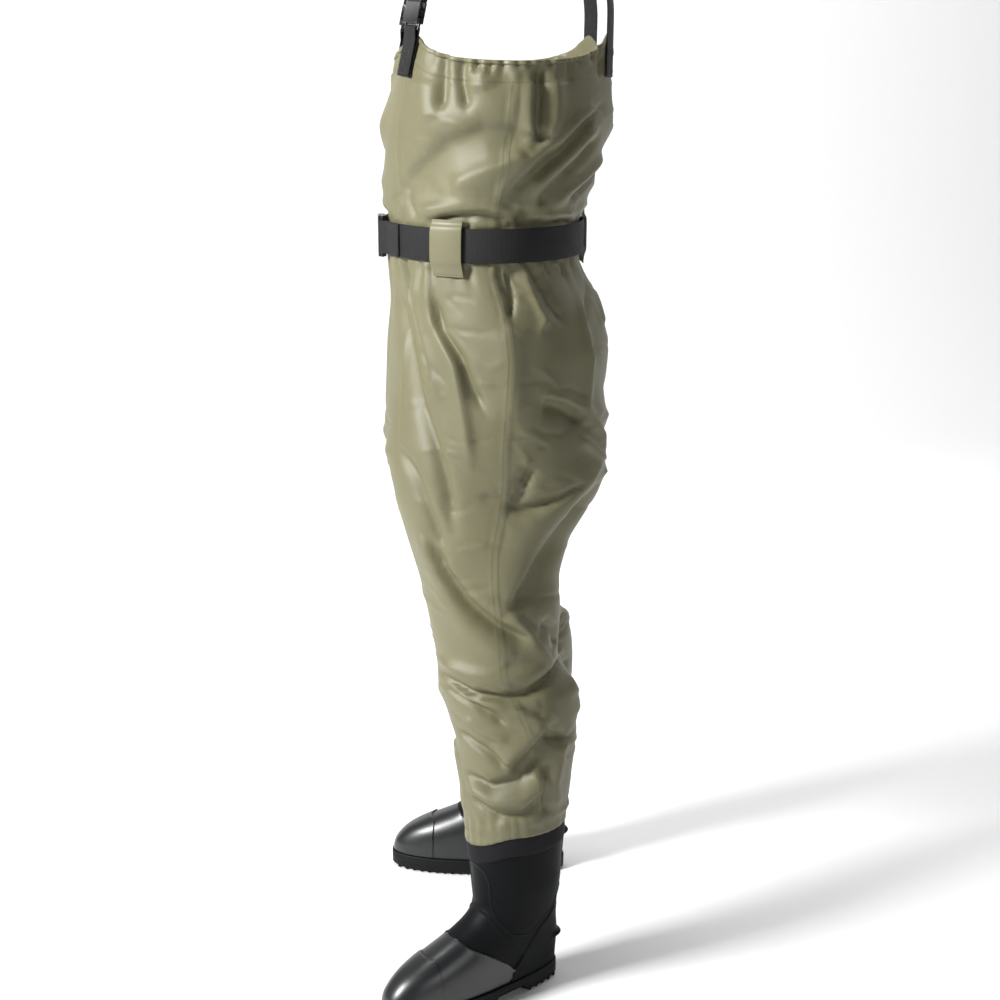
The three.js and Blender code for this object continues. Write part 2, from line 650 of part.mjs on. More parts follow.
const strapPlace = new THREE.Matrix4()
  .makeBasis(new THREE.Vector3().crossVectors(front.outward, front.along), front.outward, front.along)
  .setPosition(onLine(front, mouthAt, midPlane));
const adjusterHalf = STRAP_WIDTH / 2 + 0.6;
const adjusterWall = 1.6;
const slotClear = 0.4;
const toMid = (lift) => lift - midPlane; // the place of a lift above the cloth in the buckle's frame
const innerSlot = [toMid(innerLift - STRAP_THICK) - slotClear, toMid(innerLift) + GAP];
const outerSlot = [toMid(closedLift) - GAP, toMid(closedLift + STRAP_THICK) + slotClear];
const adjusterSpan = [strapBuckle.plugBar + ADJUSTER_AT, strapBuckle.plugBar + ADJUSTER_AT + ADJUSTER_LENGTH];
const through = [adjusterSpan[0] - 1, adjusterSpan[1] + 1];
const adjuster = box(
  [-adjusterHalf - 2.4, adjusterHalf + 2.4],
  [innerSlot[0] - adjusterWall, outerSlot[1] + adjusterWall],
  adjusterSpan,
)
  .subtract(box([-adjusterHalf, adjusterHalf], innerSlot, through))
  .subtract(box([-adjusterHalf, adjusterHalf], outerSlot, through));

for (const side of [LEFT, RIGHT]) {
  const prefix = `${side.name}_strap`;
  add(`${prefix}_front_tab`, tab, MATERIALS.webbing, side);
  add(`${prefix}_webbing`, strap, MATERIALS.webbing, side);
  addBuckle(prefix, strapBuckle, side, strapPlace, ["inner", "outer"]);
  const slider = add(`${prefix}_adjuster`, adjuster, MATERIALS.plastic, side, strapPlace);
  moves(slider, strapPlace, side, vec(0, 0, adjusterSpan[0]), vec(0, 0, 1));
}

// ---- the boots ----
// Built with the ankle's axis at the origin and the toe along -Y, then turned out and placed.
const RING_POINTS = 24;
function bootRing([z, frontY, backY, ball, heel], grow, lift) {
  const [from, to] = [frontY - grow, backY + grow];
  const fullness = lerp(0.8, 1, clamp((z - 80) / 60, 0, 1)); // 1 gives an oval, less a fuller outline
  return Array.from({ length: RING_POINTS }, (_, k) => {
    const a = (k / RING_POINTS) * 2 * Math.PI;
    const y = lerp(from, to, (1 + Math.sin(a)) / 2);
    const halfWidth = lerp(ball, heel, smooth((1 + Math.sin(a)) / 2)) + grow;
    const c = Math.cos(a);
    return vec(halfWidth * Math.sign(c) * Math.abs(c) ** fullness, y, z + lift);
  });
}

// The outside of a boot, grown sideways and lifted. Its bottom cut is lifted too.
const bootSolid = (grow, lift) => toSolid(skin(BOOT_CUTS.map((cut) => bootRing(cut, grow, lift))));
const soleCut = BOOT_CUTS[BOOT_CUTS.length - 1];
const solePart = (grow, low, high) =>
  toSolid(skin([bootRing(soleCut, grow, high - SOLE_TOP_Z), bootRing(soleCut, grow - 1, low - SOLE_TOP_Z)]));
const footBox = (ys, zs) => box([-90, 90], ys, zs);

const hollow = bootSolid(-BOOT_WALL, 0).intersect(footBox([-300, 200], [SOLE_TOP_Z + BOOT_WALL, 300]));
const hollowLow = hollow.intersect(bootSolid(-BOOT_WALL, -BOOT_WALL * 0.8));
const topRing = BOOT_CUTS[0];
const mouth = toSolid(skin([bootRing(topRing, -BOOT_WALL, 5), bootRing(topRing, -BOOT_WALL, -BOOT_WALL)]));
const bootShell = bootSolid(0, 0).subtract(hollowLow).subtract(mouth);

const seatGap = 0.4;
const clearOfShell = bootSolid(seatGap, GAP).add(bootSolid(seatGap, 0));
const overlay = bootSolid(seatGap + OVERLAY, OVERLAY * 0.7)
  .add(bootSolid(seatGap + OVERLAY, 0))
  .subtract(clearOfShell);
const soleSeat = SOLE_TOP_Z + GAP;
const toeCap = overlay.intersect(footBox([-300, TOE_CAP_END], [soleSeat, 200]));
const ledge = bootSolid(10, 0).intersect(box([-27, 27], [35, 100], [SPUR_Z - 4, SPUR_Z + 4]));
const heelCounter = overlay
  .intersect(footBox([COUNTER_START, 120], [soleSeat, COUNTER_TOP_Z]))
  .add(ledge.subtract(clearOfShell));

let outsole = solePart(SOLE_EDGE, 0, SOLE_TOP_Z - GAP);
outsole = outsole.subtract(footBox(ARCH, [-1, TREAD]));
const groove = { depth: 4, width: 6, pitch: 19 };
for (let y = -205; y < 60; y += groove.pitch) {
  outsole = outsole.subtract(footBox([y, y + groove.width], [-1, groove.depth]));
}
const insoleLow = SOLE_TOP_Z + BOOT_WALL + GAP;
const insole = solePart(-BOOT_WALL - 1.5, insoleLow, insoleLow + 3);
const bootBand = bootSolid(GAP + BAND_THICK, 0)
  .subtract(bootSolid(GAP, 0))
  .intersect(footBox([-200, 200], [BAND_LOW_Z, CUFF_Z - GAP]));

for (const side of [LEFT, RIGHT]) {
  const place = new THREE.Matrix4().makeRotationZ(side.toeOut).setPosition(ANKLE_X, side.ankleY, 0);
  add(`${side.name}_boot_shell`, bootShell, MATERIALS.rubber, side, place);
  add(`${side.name}_boot_outsole`, outsole, MATERIALS.soleRubber, side, place);
  add(`${side.name}_boot_toe_cap`, toeCap, MATERIALS.rubber, side, place);
  add(`${side.name}_boot_heel_counter`, heelCounter, MATERIALS.rubber, side, place);
  add(`${side.name}_boot_insole`, insole, MATERIALS.insole, side, place);
  add(`${side.name}_boot_band`, bootBand, MATERIALS.band, side, place);
}

// Stand the middle of the whole box over the origin.
const extent = new THREE.Box3().setFromObject(waders);
waders.position.set(-(extent.min.x + extent.max.x) / 2, -(extent.min.y + extent.max.y) / 2, 0);
waders.updateMatrixWorld(true);
export default waders;
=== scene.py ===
import math

import bmesh
import bpy
import numpy as np
from bpy.props import FloatProperty, FloatVectorProperty, IntProperty, PointerProperty
from bpy.types import Operator, Panel, PropertyGroup
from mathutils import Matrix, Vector


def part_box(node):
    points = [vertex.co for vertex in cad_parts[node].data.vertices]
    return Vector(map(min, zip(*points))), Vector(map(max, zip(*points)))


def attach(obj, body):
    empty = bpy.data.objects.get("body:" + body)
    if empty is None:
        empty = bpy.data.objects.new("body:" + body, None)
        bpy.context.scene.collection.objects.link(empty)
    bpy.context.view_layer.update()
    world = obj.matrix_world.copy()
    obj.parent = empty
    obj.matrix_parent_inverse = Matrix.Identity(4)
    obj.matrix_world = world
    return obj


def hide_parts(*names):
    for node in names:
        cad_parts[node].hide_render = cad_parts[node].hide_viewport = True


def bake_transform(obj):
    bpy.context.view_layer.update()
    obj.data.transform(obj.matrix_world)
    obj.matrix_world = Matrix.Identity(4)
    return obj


bl_info = {
    "name": "Chest Waders",
    "version": (1, 0, 0),
    "blender": (4, 5, 0),
    "location": "3D View > Sidebar > Waders",
    "description": "Dresses the chest waders' frame with draped cloth, webbing, buckles and rubber boots",
    "category": "Object",
}

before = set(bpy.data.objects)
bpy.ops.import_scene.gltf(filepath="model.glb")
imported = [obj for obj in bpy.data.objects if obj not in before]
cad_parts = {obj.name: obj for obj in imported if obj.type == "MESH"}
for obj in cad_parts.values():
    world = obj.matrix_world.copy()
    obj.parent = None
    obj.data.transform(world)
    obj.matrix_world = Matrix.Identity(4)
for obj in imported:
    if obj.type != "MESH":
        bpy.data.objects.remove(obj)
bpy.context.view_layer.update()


def middle(node):
    low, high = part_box(node)
    return (low + high) / 2


MM = 0.001
ANKLES = {"left": middle("left_boot_band"), "right": middle("right_boot_band")}
MID_X = (ANKLES["left"].x + ANKLES["right"].x) / 2
STANCE = (ANKLES["left"].x - ANKLES["right"].x) / 2 / MM
CROTCH_X = 102
LEFT_ANKLE_Y = 6
BASE_Y = ANKLES["left"].y - LEFT_ANKLE_Y * MM
TOE_OUT = {"left": math.radians(28), "right": math.radians(10)}
SIGN = {"left": 1, "right": -1}
SIDES = ("left", "right")
UP = np.array([0.0, 0.0, 1.0])

# Places in the garment's own frame, in millimetres: X to the wearer's left of the middle plane,
# Y to the back and Z up from the floor.
HEM_Z = 1309
HEM_PEAK = 34
PEAK_SPREAD = 0.24
RISE_FROM_Z = 1180
CROTCH_Z = 722
KNEE_TOP_Z = 520
KNEE_LOW_Z = 420
TURNED_Z = 240  # the leg has turned out as far as its boot at this height
CUFF_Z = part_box("left_boot_band")[1].z / MM + 0.3
BELT_Z = 1075
BELT_WIDTH = 45
BELT_THICK = 2.2
BELT_CLEAR = 2.2
STRAP_X = 95
STRAP_WIDTH = 38
STRAP_THICK = 1.8
GAP = 0.3
BAR = 3.2


def leg_x(share):
    return CROTCH_X + share * (STANCE - CROTCH_X)


# Level cuts through one half of the garment: height, sideways centre, fore-and-aft centre,
# half-width and half-depth.
SECTIONS = np.array(
    [
        (1345, 0, 8, 206, 146),
        (1310, 0, 4, 208, 150),
        (1230, 0, -5, 214, 159),
        (1180, 0, -12, 205, 152),
        (1125, 0, -21, 190, 141),
        (1098, 0, -24, 183.5, 136.7),
        (1052, 0, -24.5, 181.5, 136),
        (1030, 0, -22, 184, 137),
        (985, 0, -9, 196, 147),
        (925, 0, -3, 206, 159),
        (860, 0, -7, 208, 158),
        (800, CROTCH_X - 50, -11, 156, 156),
        (760, CROTCH_X - 18, -11, 121, 153),
        (738, CROTCH_X - 8, -12, 110, 149),
        (CROTCH_Z, CROTCH_X, -14, 101, 144),
        (660, leg_x(0.12), -26, 94, 114),
        (610, leg_x(0.23), -26, 90, 99),
        (560, leg_x(0.35), -20, 87, 94),
        (KNEE_TOP_Z, leg_x(0.45), -17.5, 84, 89),
        (490, leg_x(0.52), -17, 82, 85),
        (455, leg_x(0.59), -4, 88, 97),
        (KNEE_LOW_Z, leg_x(0.66), 4, 84, 93),
        (385, leg_x(0.73), 8, 80, 88),
        (340, leg_x(0.82), 8, 76, 83),
        (300, leg_x(0.91), 7, 71, 79),
        (CUFF_Z, leg_x(1), 6, 63.3, 76.3),
    ][::-1],
    dtype=float,
)

# Folds of the cloth. Each is a path, how far the cloth stands out along it (negative for a
# hollow), how far its slope reaches on the left of the path's direction and on the right.
# Side folds are paths of (fore-and-aft, height), front and back folds of (sideways, height).
SIDE_FOLDS = [
    # hem pleats and the puffs between them
    ([(-90, 1325), (-89, 1280), (-92, 1248)], -9, 6, 9),
    ([(-112, 1290), (-110, 1260), (-108, 1235)], 9, 16, 14),
    ([(-68, 1316), (-66, 1284), (-60, 1250)], -8, 7, 7),
    ([(-45, 1300), (-38, 1275)], 5, 16, 14),
    ([(-45, 1310), (-52, 1296)], -4, 4, 5),
    ([(-27, 1310), (-32, 1294)], -4, 4, 5),
    ([(36, 1308), (33, 1284), (33, 1256), (31, 1230), (39, 1207)], -12, 6, 6),
    ([(22, 1290), (20, 1250), (24, 1215)], 6, 9, 12),
    ([(53, 1290), (56, 1262), (55, 1235), (44, 1212)], 8, 10, 8),
    ([(128, 1318), (122, 1290)], -6, 5, 6),
    # the great hollow under the puffs and the swell below it
    ([(-145, 1140), (-120, 1172), (-85, 1205), (-40, 1222), (0, 1220), (26, 1208)], -15, 13, 34),
    ([(-80, 1146), (-50, 1164), (-14, 1178), (20, 1196)], 12, 14, 22),
    # diagonal folds that run down from the back of the hem
    ([(118, 1262), (88, 1240), (60, 1213), (40, 1204), (14, 1182), (-12, 1160), (-20, 1136)], 9, 16, 5),
    ([(122, 1250), (92, 1225), (66, 1199), (30, 1172), (4, 1150), (-6, 1134)], -9, 8, 12),
    ([(118, 1232), (90, 1205), (64, 1182), (36, 1157), (28, 1136)], 8, 14, 5),
    ([(124, 1214), (96, 1186), (70, 1164), (46, 1140), (36, 1122)], -8, 7, 11),
    ([(136, 1186), (106, 1162), (76, 1142), (50, 1122)], 8, 14, 6),
    ([(132, 1166), (104, 1146), (80, 1130)], -9, 6, 8),
    # cloth bunched above the belt
    ([(-122, 1118), (-96, 1122), (-62, 1130), (-30, 1128), (-8, 1120)], 9, 9, 12),
    ([(-108, 1104), (-76, 1113), (-42, 1117), (-16, 1112), (-8, 1102)], -8, 5, 6),
    ([(8, 1104), (18, 1120)], -11, 8, 9),
    ([(2, 1101), (38, 1103), (90, 1101)], -6, 5, 6),
    ([(40, 1112), (88, 1112)], 6, 8, 8),
    ([(-138, 1152), (-136, 1130), (-122, 1106)], -5, 5, 7),
    # pleats that hang from the belt
    ([(-137, 1046), (-138, 1008), (-126, 968), (-114, 920), (-104, 880)], -7, 7, 9),
    ([(-150, 1030), (-146, 994), (-134, 930), (-121, 858), (-103, 806), (-88, 748), (-80, 690)], -8, 8, 12),
    ([(-126, 1030), (-124, 990), (-112, 930), (-100, 872)], 7, 9, 10),
    ([(-112, 1046), (-104, 975), (-76, 918), (-66, 858), (-56, 790)], 8, 6, 13),
    ([(-104, 1010), (-94, 962), (-70, 926), (-56, 888), (-36, 856)], -8, 7, 8),
    ([(-8, 1046), (1, 1006), (-4, 981)], -6, 4, 5),
    ([(16, 1046), (28, 1010), (44, 978), (38, 964)], 7, 7, 5),
    ([(30, 1044), (52, 996), (72, 972)], -5, 6, 8),
    ([(-6, 974), (-2, 930), (0, 884), (4, 846)], 7, 16, 20),
    ([(112, 1046), (116, 1002), (104, 960)], -6, 6, 6),
    ([(96, 1000), (102, 961), (112, 920), (108, 871), (104, 836)], 8, 7, 7),
    ([(124, 1030), (130, 990), (142, 950)], 5, 8, 8),
    # seat, thigh and the fold that runs from the seat to the back of the knee
    ([(40, 868), (72, 856), (100, 832)], -10, 14, 16),
    ([(38, 880), (74, 868), (108, 846), (134, 806), (138, 776)], 6, 10, 12),
    ([(96, 812), (118, 790), (136, 770)], 9, 8, 7),
    ([(28, 783), (12, 748), (-2, 719)], -9, 7, 8),
    ([(-2, 720), (30, 722), (66, 734), (102, 752)], -10, 10, 8),
    ([(126, 762), (92, 740), (62, 716), (36, 690), (14, 652), (0, 620), (-8, 594)], 14, 12, 24),
    ([(118, 735), (88, 706), (60, 672), (34, 640), (8, 600), (0, 580)], -11, 24, 8),
    ([(-44, 740), (-8, 738)], -3, 6, 9),
    ([(-152, 796), (-131, 765), (-111, 714), (-92, 660)], -6, 7, 12),
    ([(-114, 680), (-90, 628), (-60, 590), (-24, 562), (12, 544), (34, 536)], -10, 8, 10),
    ([(-128, 690), (-108, 640), (-84, 590), (-60, 556), (-26, 532), (8, 518)], 8, 16, 16),
    ([(-8, 584), (22, 548), (54, 496)], 9, 6, 14),
    ([(42, 560), (64, 540), (70, 510)], -9, 10, 12),
    # the knee, where the thigh's cloth stacks on the shin's
    ([(-104, 500), (-60, 494), (-10, 492), (34, 496), (60, 500)], 8, 9, 12),
    ([(-103, 481), (-58, 465), (-16, 462), (22, 466), (60, 484), (74, 494)], -13, 6, 5),
    ([(-84, 464), (-50, 460), (-8, 452), (26, 438), (44, 426)], 8, 5, 7),
    ([(-96, 466), (-58, 452), (-32, 440), (-14, 424)], -7, 5, 6),
    ([(-20, 455), (14, 446), (40, 432)], -6, 4, 4),
    ([(80, 470), (96, 440), (98, 410)], 6, 10, 8),
    # zigzag of the calf
    ([(44, 424), (22, 402), (0, 384), (-16, 364)], 10, 6, 14),
    ([(52, 414), (32, 390), (10, 368), (-6, 350)], -9, 12, 6),
    ([(-78, 404), (-36, 382), (-10, 360)], -7, 7, 7),
    ([(-70, 430), (-44, 414), (-10, 402)], 5, 9, 8),
    ([(-70, 345), (-36, 334), (6, 346), (38, 382)], -9, 8, 9),
    ([(-66, 328), (-30, 312), (10, 316), (42, 338)], 9, 11, 8),
    ([(-62, 312), (-22, 292), (14, 296), (38, 316)], -7, 6, 8),
    ([(22, 350), (40, 340), (26, 322)], 5, 5, 5),
    ([(46, 402), (74, 392)], -8, 9, 6),
    ([(72, 396), (66, 370), (56, 330), (60, 292)], 6, 9, 9),
    ([(48, 370), (44, 326), (46, 286)], -5, 7, 7),
]
FRONT_FOLDS = [
    ([(-84, 1310), (-44, 1276), (0, 1264), (44, 1276), (84, 1310)], -8, 12, 12),
    ([(-104, 1290), (-56, 1240), (0, 1224), (56, 1240), (104, 1290)], 8, 16, 18),
    ([(-110, 1240), (-60, 1196), (0, 1182), (70, 1202), (120, 1250)], -8, 14, 16),
    ([(-90, 1180), (-30, 1148), (40, 1146), (100, 1176)], 7, 14, 14),
    ([(-84, 1124), (-30, 1118), (26, 1122), (76, 1116)], 8, 9, 9),
    ([(-90, 1108), (-30, 1103), (40, 1106), (90, 1102)], -7, 5, 6),
    ([(-70, 1046), (-78, 990), (-66, 930), (-54, 860)], -7, 7, 9),
    ([(-30, 1046), (-26, 1000), (-36, 950)], 6, 8, 8),
    ([(24, 1046), (30, 990), (20, 930), (26, 880)], -6, 8, 8),
    ([(58, 1046), (54, 980), (64, 910), (60, 850)], 7, 9, 9),
    ([(-6, 800), (-50, 820), (-104, 836)], -8, 8, 9),
    ([(6, 796), (54, 812), (110, 830)], -8, 9, 8),
    ([(-8, 772), (-54, 772), (-110, 790)], 8, 9, 9),
    ([(8, 770), (60, 776), (116, 786)], 8, 9, 9),
    ([(-10, 752), (-60, 738), (-116, 734)], -7, 8, 8),
    ([(10, 752), (58, 734), (112, 728)], -7, 8, 8),
]
BACK_FOLDS = [
    ([(-90, 1330), (-50, 1282), (0, 1266), (50, 1282), (90, 1330)], -8, 12, 12),
    ([(-110, 1300), (-60, 1236), (0, 1216), (60, 1236), (110, 1300)], 9, 18, 18),
    ([(-120, 1236), (-60, 1190), (10, 1176), (70, 1198), (124, 1246)], -9, 14, 16),
    ([(-100, 1170), (-30, 1142), (50, 1144), (104, 1172)], 8, 14, 13),
    ([(-96, 1120), (-20, 1114), (60, 1118), (110, 1112)], 8, 8, 8),
    ([(-110, 1104), (-30, 1101), (50, 1104), (110, 1101)], -7, 5, 6),
    ([(-84, 1046), (-96, 990), (-84, 930)], -6, 7, 8),
    ([(-36, 1046), (-30, 980), (-44, 920)], 6, 9, 9),
    ([(30, 1046), (36, 984), (24, 930)], -7, 7, 9),
    ([(82, 1046), (88, 990), (74, 940)], 6, 8, 9),
    ([(-150, 900), (-80, 862), (0, 850), (80, 866), (150, 908)], -9, 14, 14),
    ([(-140, 860), (-70, 822), (0, 810), (74, 826), (144, 864)], 9, 12, 14),
    ([(-10, 786), (-60, 790), (-116, 812)], -9, 9, 9),
    ([(10, 786), (60, 792), (118, 816)], -9, 9, 9),
    ([(-12, 756), (-62, 742), (-116, 748)], 7, 9, 9),
    ([(12, 756), (64, 744), (118, 750)], 7, 9, 9),
]


# ---- arithmetic ----
def smooth(t):
    """An eased step from nothing at 0 to one at 1."""
    t = np.clip(t, 0, 1)
    return t * t * (3 - 2 * t)


def hump(distance, at, width, power=2):
    """One where the distance is at the given value, fading to nothing over about the width."""
    return np.exp(-(((distance - at) / width) ** power))


def unit(v):
    v = np.asarray(v, float)
    return v / np.linalg.norm(v, axis=-1, keepdims=True)


def to_world(points):
    """From the garment's own frame in millimetres to the world in metres."""
    return np.asarray(points, float) * MM + np.array([MID_X, BASE_Y, 0.0])


def cut_at(table, z, step):
    """The four measures of a table of level cuts at a height, averaged nearby to round its corners."""
    spread = (-2 * step, -step, 0, step, 2 * step)
    return [
        sum(np.interp(z + d, table[:, 0], table[:, k]) for d in spread) / len(spread)
        for k in (1, 2, 3, 4)
    ]


def below_crotch(z):
    """Share of the way down from the crotch to the cuff."""
    return np.clip((CROTCH_Z - z) / (CROTCH_Z - CUFF_Z), 0, 1)


def section(z, side):
    """Centre, half-sizes and turn of one half of the garment at a height."""
    z = np.asarray(z, float)
    cx, cy, rx, ry = cut_at(SECTIONS, z, 4.5)
    down = below_crotch(z)
    ankle_y = (ANKLES[side].y - BASE_Y) / MM
    turn = TOE_OUT[side] * smooth((KNEE_TOP_Z - z) / (KNEE_TOP_Z - TURNED_Z))
    return cx, cy + (ankle_y - LEFT_ANKLE_Y) * down, rx, ry, turn


HEM_HALF_WIDTH = 208
STRAP_ANGLE = math.acos(STRAP_X / HEM_HALF_WIDTH)
CUFF_TURN = 0.45  # how far round the shin the lowest point of the cuff lies
CUFF_DROP = 20
CUFF_EASE_Z = 390  # the cuff's drop starts to show below this height
FOLD_CREST = 8  # the most that a fold stands out
FRONT_CREST_LOSS = 3.5  # and how much less on the torso's front
FOLD_DEPTH = 16  # the most that a fold goes in
WEARER_CLEAR = 5  # gap between the deepest fold and the body that the cloth settles on
MOST_SETTLING = 0.016  # the furthest that settling moves the cloth, in metres


def hem_rise(angle):
    """How far the hem climbs to its peak at each strap, sagging between them."""
    off = (np.arcsin(np.abs(np.sin(angle))) - STRAP_ANGLE) / PEAK_SPREAD
    return (HEM_PEAK + 3) * np.exp(0.2 - np.sqrt(off * off * 0.9 + 0.04))


def cuff_rise(angle):
    """How far the lower edge of the leg's cloth drops, towards the shin's front."""
    return -CUFF_DROP * smooth(-np.sin(angle + CUFF_TURN))


def cloth_point(z, angle, lift, side):
    """A point of the garment in the left-hand frame of its half, moved out by lift."""
    cx, cy, rx, ry, turn = section(z, side)
    x, y = (rx + lift) * np.cos(angle), (ry + lift) * np.sin(angle)
    wide = cx + x * np.cos(turn) - y * np.sin(turn)
    deep = cy + x * np.sin(turn) + y * np.cos(turn)
    return np.stack([wide, deep, z + 0 * angle], -1)


def near_path(points, path):
    """Signed distance from each point to a path, positive on its left, and the share along it."""
    path = np.asarray(path, float)
    lengths = np.linalg.norm(np.diff(path, axis=0), axis=1)
    starts = np.concatenate([[0], np.cumsum(lengths)])
    best = np.full(points.shape[:-1], 1e9)
    signed = np.zeros_like(best)
    share = np.zeros_like(best)
    for a, b, length, start in zip(path[:-1], path[1:], lengths, starts):
        along = (b - a) / length
        t = np.clip((points - a) @ along, 0, length)
        off = points - (a + t[..., None] * along)
        d = np.linalg.norm(off, axis=-1)
        side = along[0] * off[..., 1] - along[1] * off[..., 0]
        closer = d < best
        best = np.where(closer, d, best)
        signed = np.where(closer, np.copysign(d, side), signed)
        share = np.where(closer, (start + t) / starts[-1], share)
    return signed, share


def fold_height(points, folds, scale=1.0, slant=1.0):
    """Height of the folds. Slant is how much of the surface's width shows in the flat."""
    narrow = 0.85 * (0.3 + 0.7 * np.abs(slant))
    total = np.zeros(points.shape[:-1])
    for path, height, left, right in folds:
        signed, share = near_path(points, path)
        reach = np.where(signed > 0, left, right) * narrow
        ends = smooth(share / 0.16) * smooth((1 - share) / 0.16)
        profile = np.exp(-(((signed / reach) ** 2 + 0.012) ** 0.62))
        total += height * scale * profile * (0.2 + 0.8 * ends)
    return total


# ---- meshes ----
def linked(name, data):
    obj = bpy.data.objects.new(name, data)
    bpy.context.scene.collection.objects.link(obj)
    return obj


def new_object(name, points, faces, uv=None):
    """A smooth-shaded object, with one cut-pattern coordinate for each point if uv is given."""
    mesh = bpy.data.meshes.new(name)
    mesh.from_pydata([tuple(p) for p in np.asarray(points).reshape(-1, 3)], [], [tuple(f) for f in faces])
    if uv is not None:
        layer = mesh.uv_layers.new(name="cut")
        corner = np.empty(len(mesh.loops), dtype=np.int64)
        mesh.loops.foreach_get("vertex_index", corner)
        layer.data.foreach_set("uv", np.asarray(uv, float).reshape(-1, 2)[corner].ravel())
    mesh.validate()
    mesh.update()
    obj = linked(name, mesh)
    mesh.shade_smooth()
    return obj


def grid_faces(rows, columns, ring=False, flip=False):
    """Quads over a grid of points, closed into a ring or turned over if asked."""
    faces = []
    for r in range(rows - 1):
        for c in range(columns if ring else columns - 1):
            d = (c + 1) % columns
            quad = (r * columns + c, (r + 1) * columns + c, (r + 1) * columns + d, r * columns + d)
            faces.append(quad[::-1] if flip else quad)
    return faces


def finish_piece(obj, material, body=None, replaces=()):
    """Gives a piece its material and slot, the body it moves with and the nodes it stands for."""
    obj.data.materials.clear()
    obj.data.materials.append(material)
    if body:
        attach(obj, body)
    if replaces:
        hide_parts(*replaces)
    return obj


def recalc_outwards(obj):
    made = bmesh.new()
    made.from_mesh(obj.data)
    bmesh.ops.recalc_face_normals(made, faces=made.faces)
    made.to_mesh(obj.data)
    made.free()


def thicken(obj, wall, offset=-1.0):
    mod = obj.modifiers.new("Wall", "SOLIDIFY")
    mod.thickness = wall
    mod.offset = offset
    mod.use_rim = True


def subdivide(obj, levels):
    mod = obj.modifiers.new("Smooth", "SUBSURF")
    mod.levels = levels
    mod.render_levels = levels
    mod.boundary_smooth = "PRESERVE_CORNERS"


# ---- materials ----
class Shader:
    """A node tree that ends in one Principled shader, built from short calls."""

    def __init__(self, name, colour, roughness, **sockets):
        self.material = bpy.data.materials.new(name)
        self.material.use_nodes = True
        self.tree = self.material.node_tree
        self.tree.nodes.clear()
        self.shader = self.node("ShaderNodeBsdfPrincipled")
        output = self.node("ShaderNodeOutputMaterial")
        self.join(self.shader.outputs["BSDF"], output.inputs["Surface"])
        self.shader.inputs["Base Color"].default_value = (*colour, 1)
        self.shader.inputs["Roughness"].default_value = roughness
        for key, value in sockets.items():
            self.shader.inputs[key.replace("_", " ")].default_value = value
        self.coords = self.node("ShaderNodeTexCoord")
        self.normal = None
        self.material.diffuse_color = (*colour, 1)

    def node(self, kind, **settings):
        made = self.tree.nodes.new(kind)
        for key, value in settings.items():
            setattr(made, key, value)
        return made

    def join(self, source, target):
        self.tree.links.new(source, target)

    def noise(self, scale, detail=4.0, roughness=0.55):
        texture = self.node("ShaderNodeTexNoise")
        texture.inputs["Scale"].default_value = scale
        texture.inputs["Detail"].default_value = detail
        texture.inputs["Roughness"].default_value = roughness
        self.join(self.coords.outputs["Object"], texture.inputs["Vector"])
        return texture.outputs["Fac"]

    def wave(self, scale, direction):
        texture = self.node("ShaderNodeTexWave", bands_direction=direction)
        texture.inputs["Scale"].default_value = scale
        texture.inputs["Distortion"].default_value = 0.15
        self.join(self.coords.outputs["UV"], texture.inputs["Vector"])
        return texture.outputs["Fac"]

    def math(self, operation, a, b):
        made = self.node("ShaderNodeMath", operation=operation)
        for value, socket in ((a, made.inputs[0]), (b, made.inputs[1])):
            if isinstance(value, (int, float)):
                socket.default_value = value
            else:
                self.join(value, socket)
        return made.outputs[0]

    def ramp(self, fac, low, high, start=0.3, end=0.7):
        """Colour between two values as fac rises."""
        made = self.node("ShaderNodeValToRGB")
        made.color_ramp.elements[0].position = start
        made.color_ramp.elements[1].position = end
        made.color_ramp.elements[0].color = (*low, 1)
        made.color_ramp.elements[1].color = (*high, 1)
        self.join(fac, made.inputs["Fac"])
        return made.outputs["Color"]

    def vary_colour(self, fac, low, high, start=0.3, end=0.7):
        self.join(self.ramp(fac, low, high, start, end), self.shader.inputs["Base Color"])

    def vary_roughness(self, fac, low, high):
        made = self.node("ShaderNodeMapRange")
        made.inputs["To Min"].default_value = low
        made.inputs["To Max"].default_value = high
        self.join(fac, made.inputs["Value"])
        self.join(made.outputs["Result"], self.shader.inputs["Roughness"])

    def bump(self, fac, distance, strength=1.0):
        made = self.node("ShaderNodeBump")
        made.inputs["Distance"].default_value = distance
        made.inputs["Strength"].default_value = strength
        self.join(fac, made.inputs["Height"])
        if self.normal is not None:
            self.join(self.normal, made.inputs["Normal"])
        self.normal = made.outputs["Normal"]
        self.join(self.normal, self.shader.inputs["Normal"])


def shade(colour, factor):
    return tuple(c * factor for c in colour)


def noisy(name, colour, roughness, stain, shades, wear=None, worn=None, bumps=(), **sockets):
    """A finish whose colour, roughness and surface each vary by a noise.

    Stain and wear are noises, as scale and detail. Shades are the least and most of the colour, worn the
    least and most roughness. Each bump is a noise, how far it stands out and its strength.
    """
    m = Shader(name, colour, roughness, **sockets)
    m.vary_colour(m.noise(*stain), shade(colour, shades[0]), shade(colour, shades[1]))
    if wear:
        m.vary_roughness(m.noise(*wear), *worn)
    for noise, distance, strength in bumps:
        m.bump(m.noise(*noise), distance, strength)
    return m


def coated_cloth(colour):
    bumps = [((34.0, 4, 0.5), 0.0012, 0.34), ((180.0, 3, 0.5), 0.0003, 0.35)]
    m = noisy(
        "coated_nylon", colour, 0.47, (5.0, 5), (0.9, 1.08), (24.0, 4), (0.41, 0.53), bumps,
        Specular_IOR_Level=0.45,
    )
    m.bump(m.math("ADD", m.wave(420.0, "X"), m.wave(420.0, "Y")), 0.00008, 0.5)
    return m


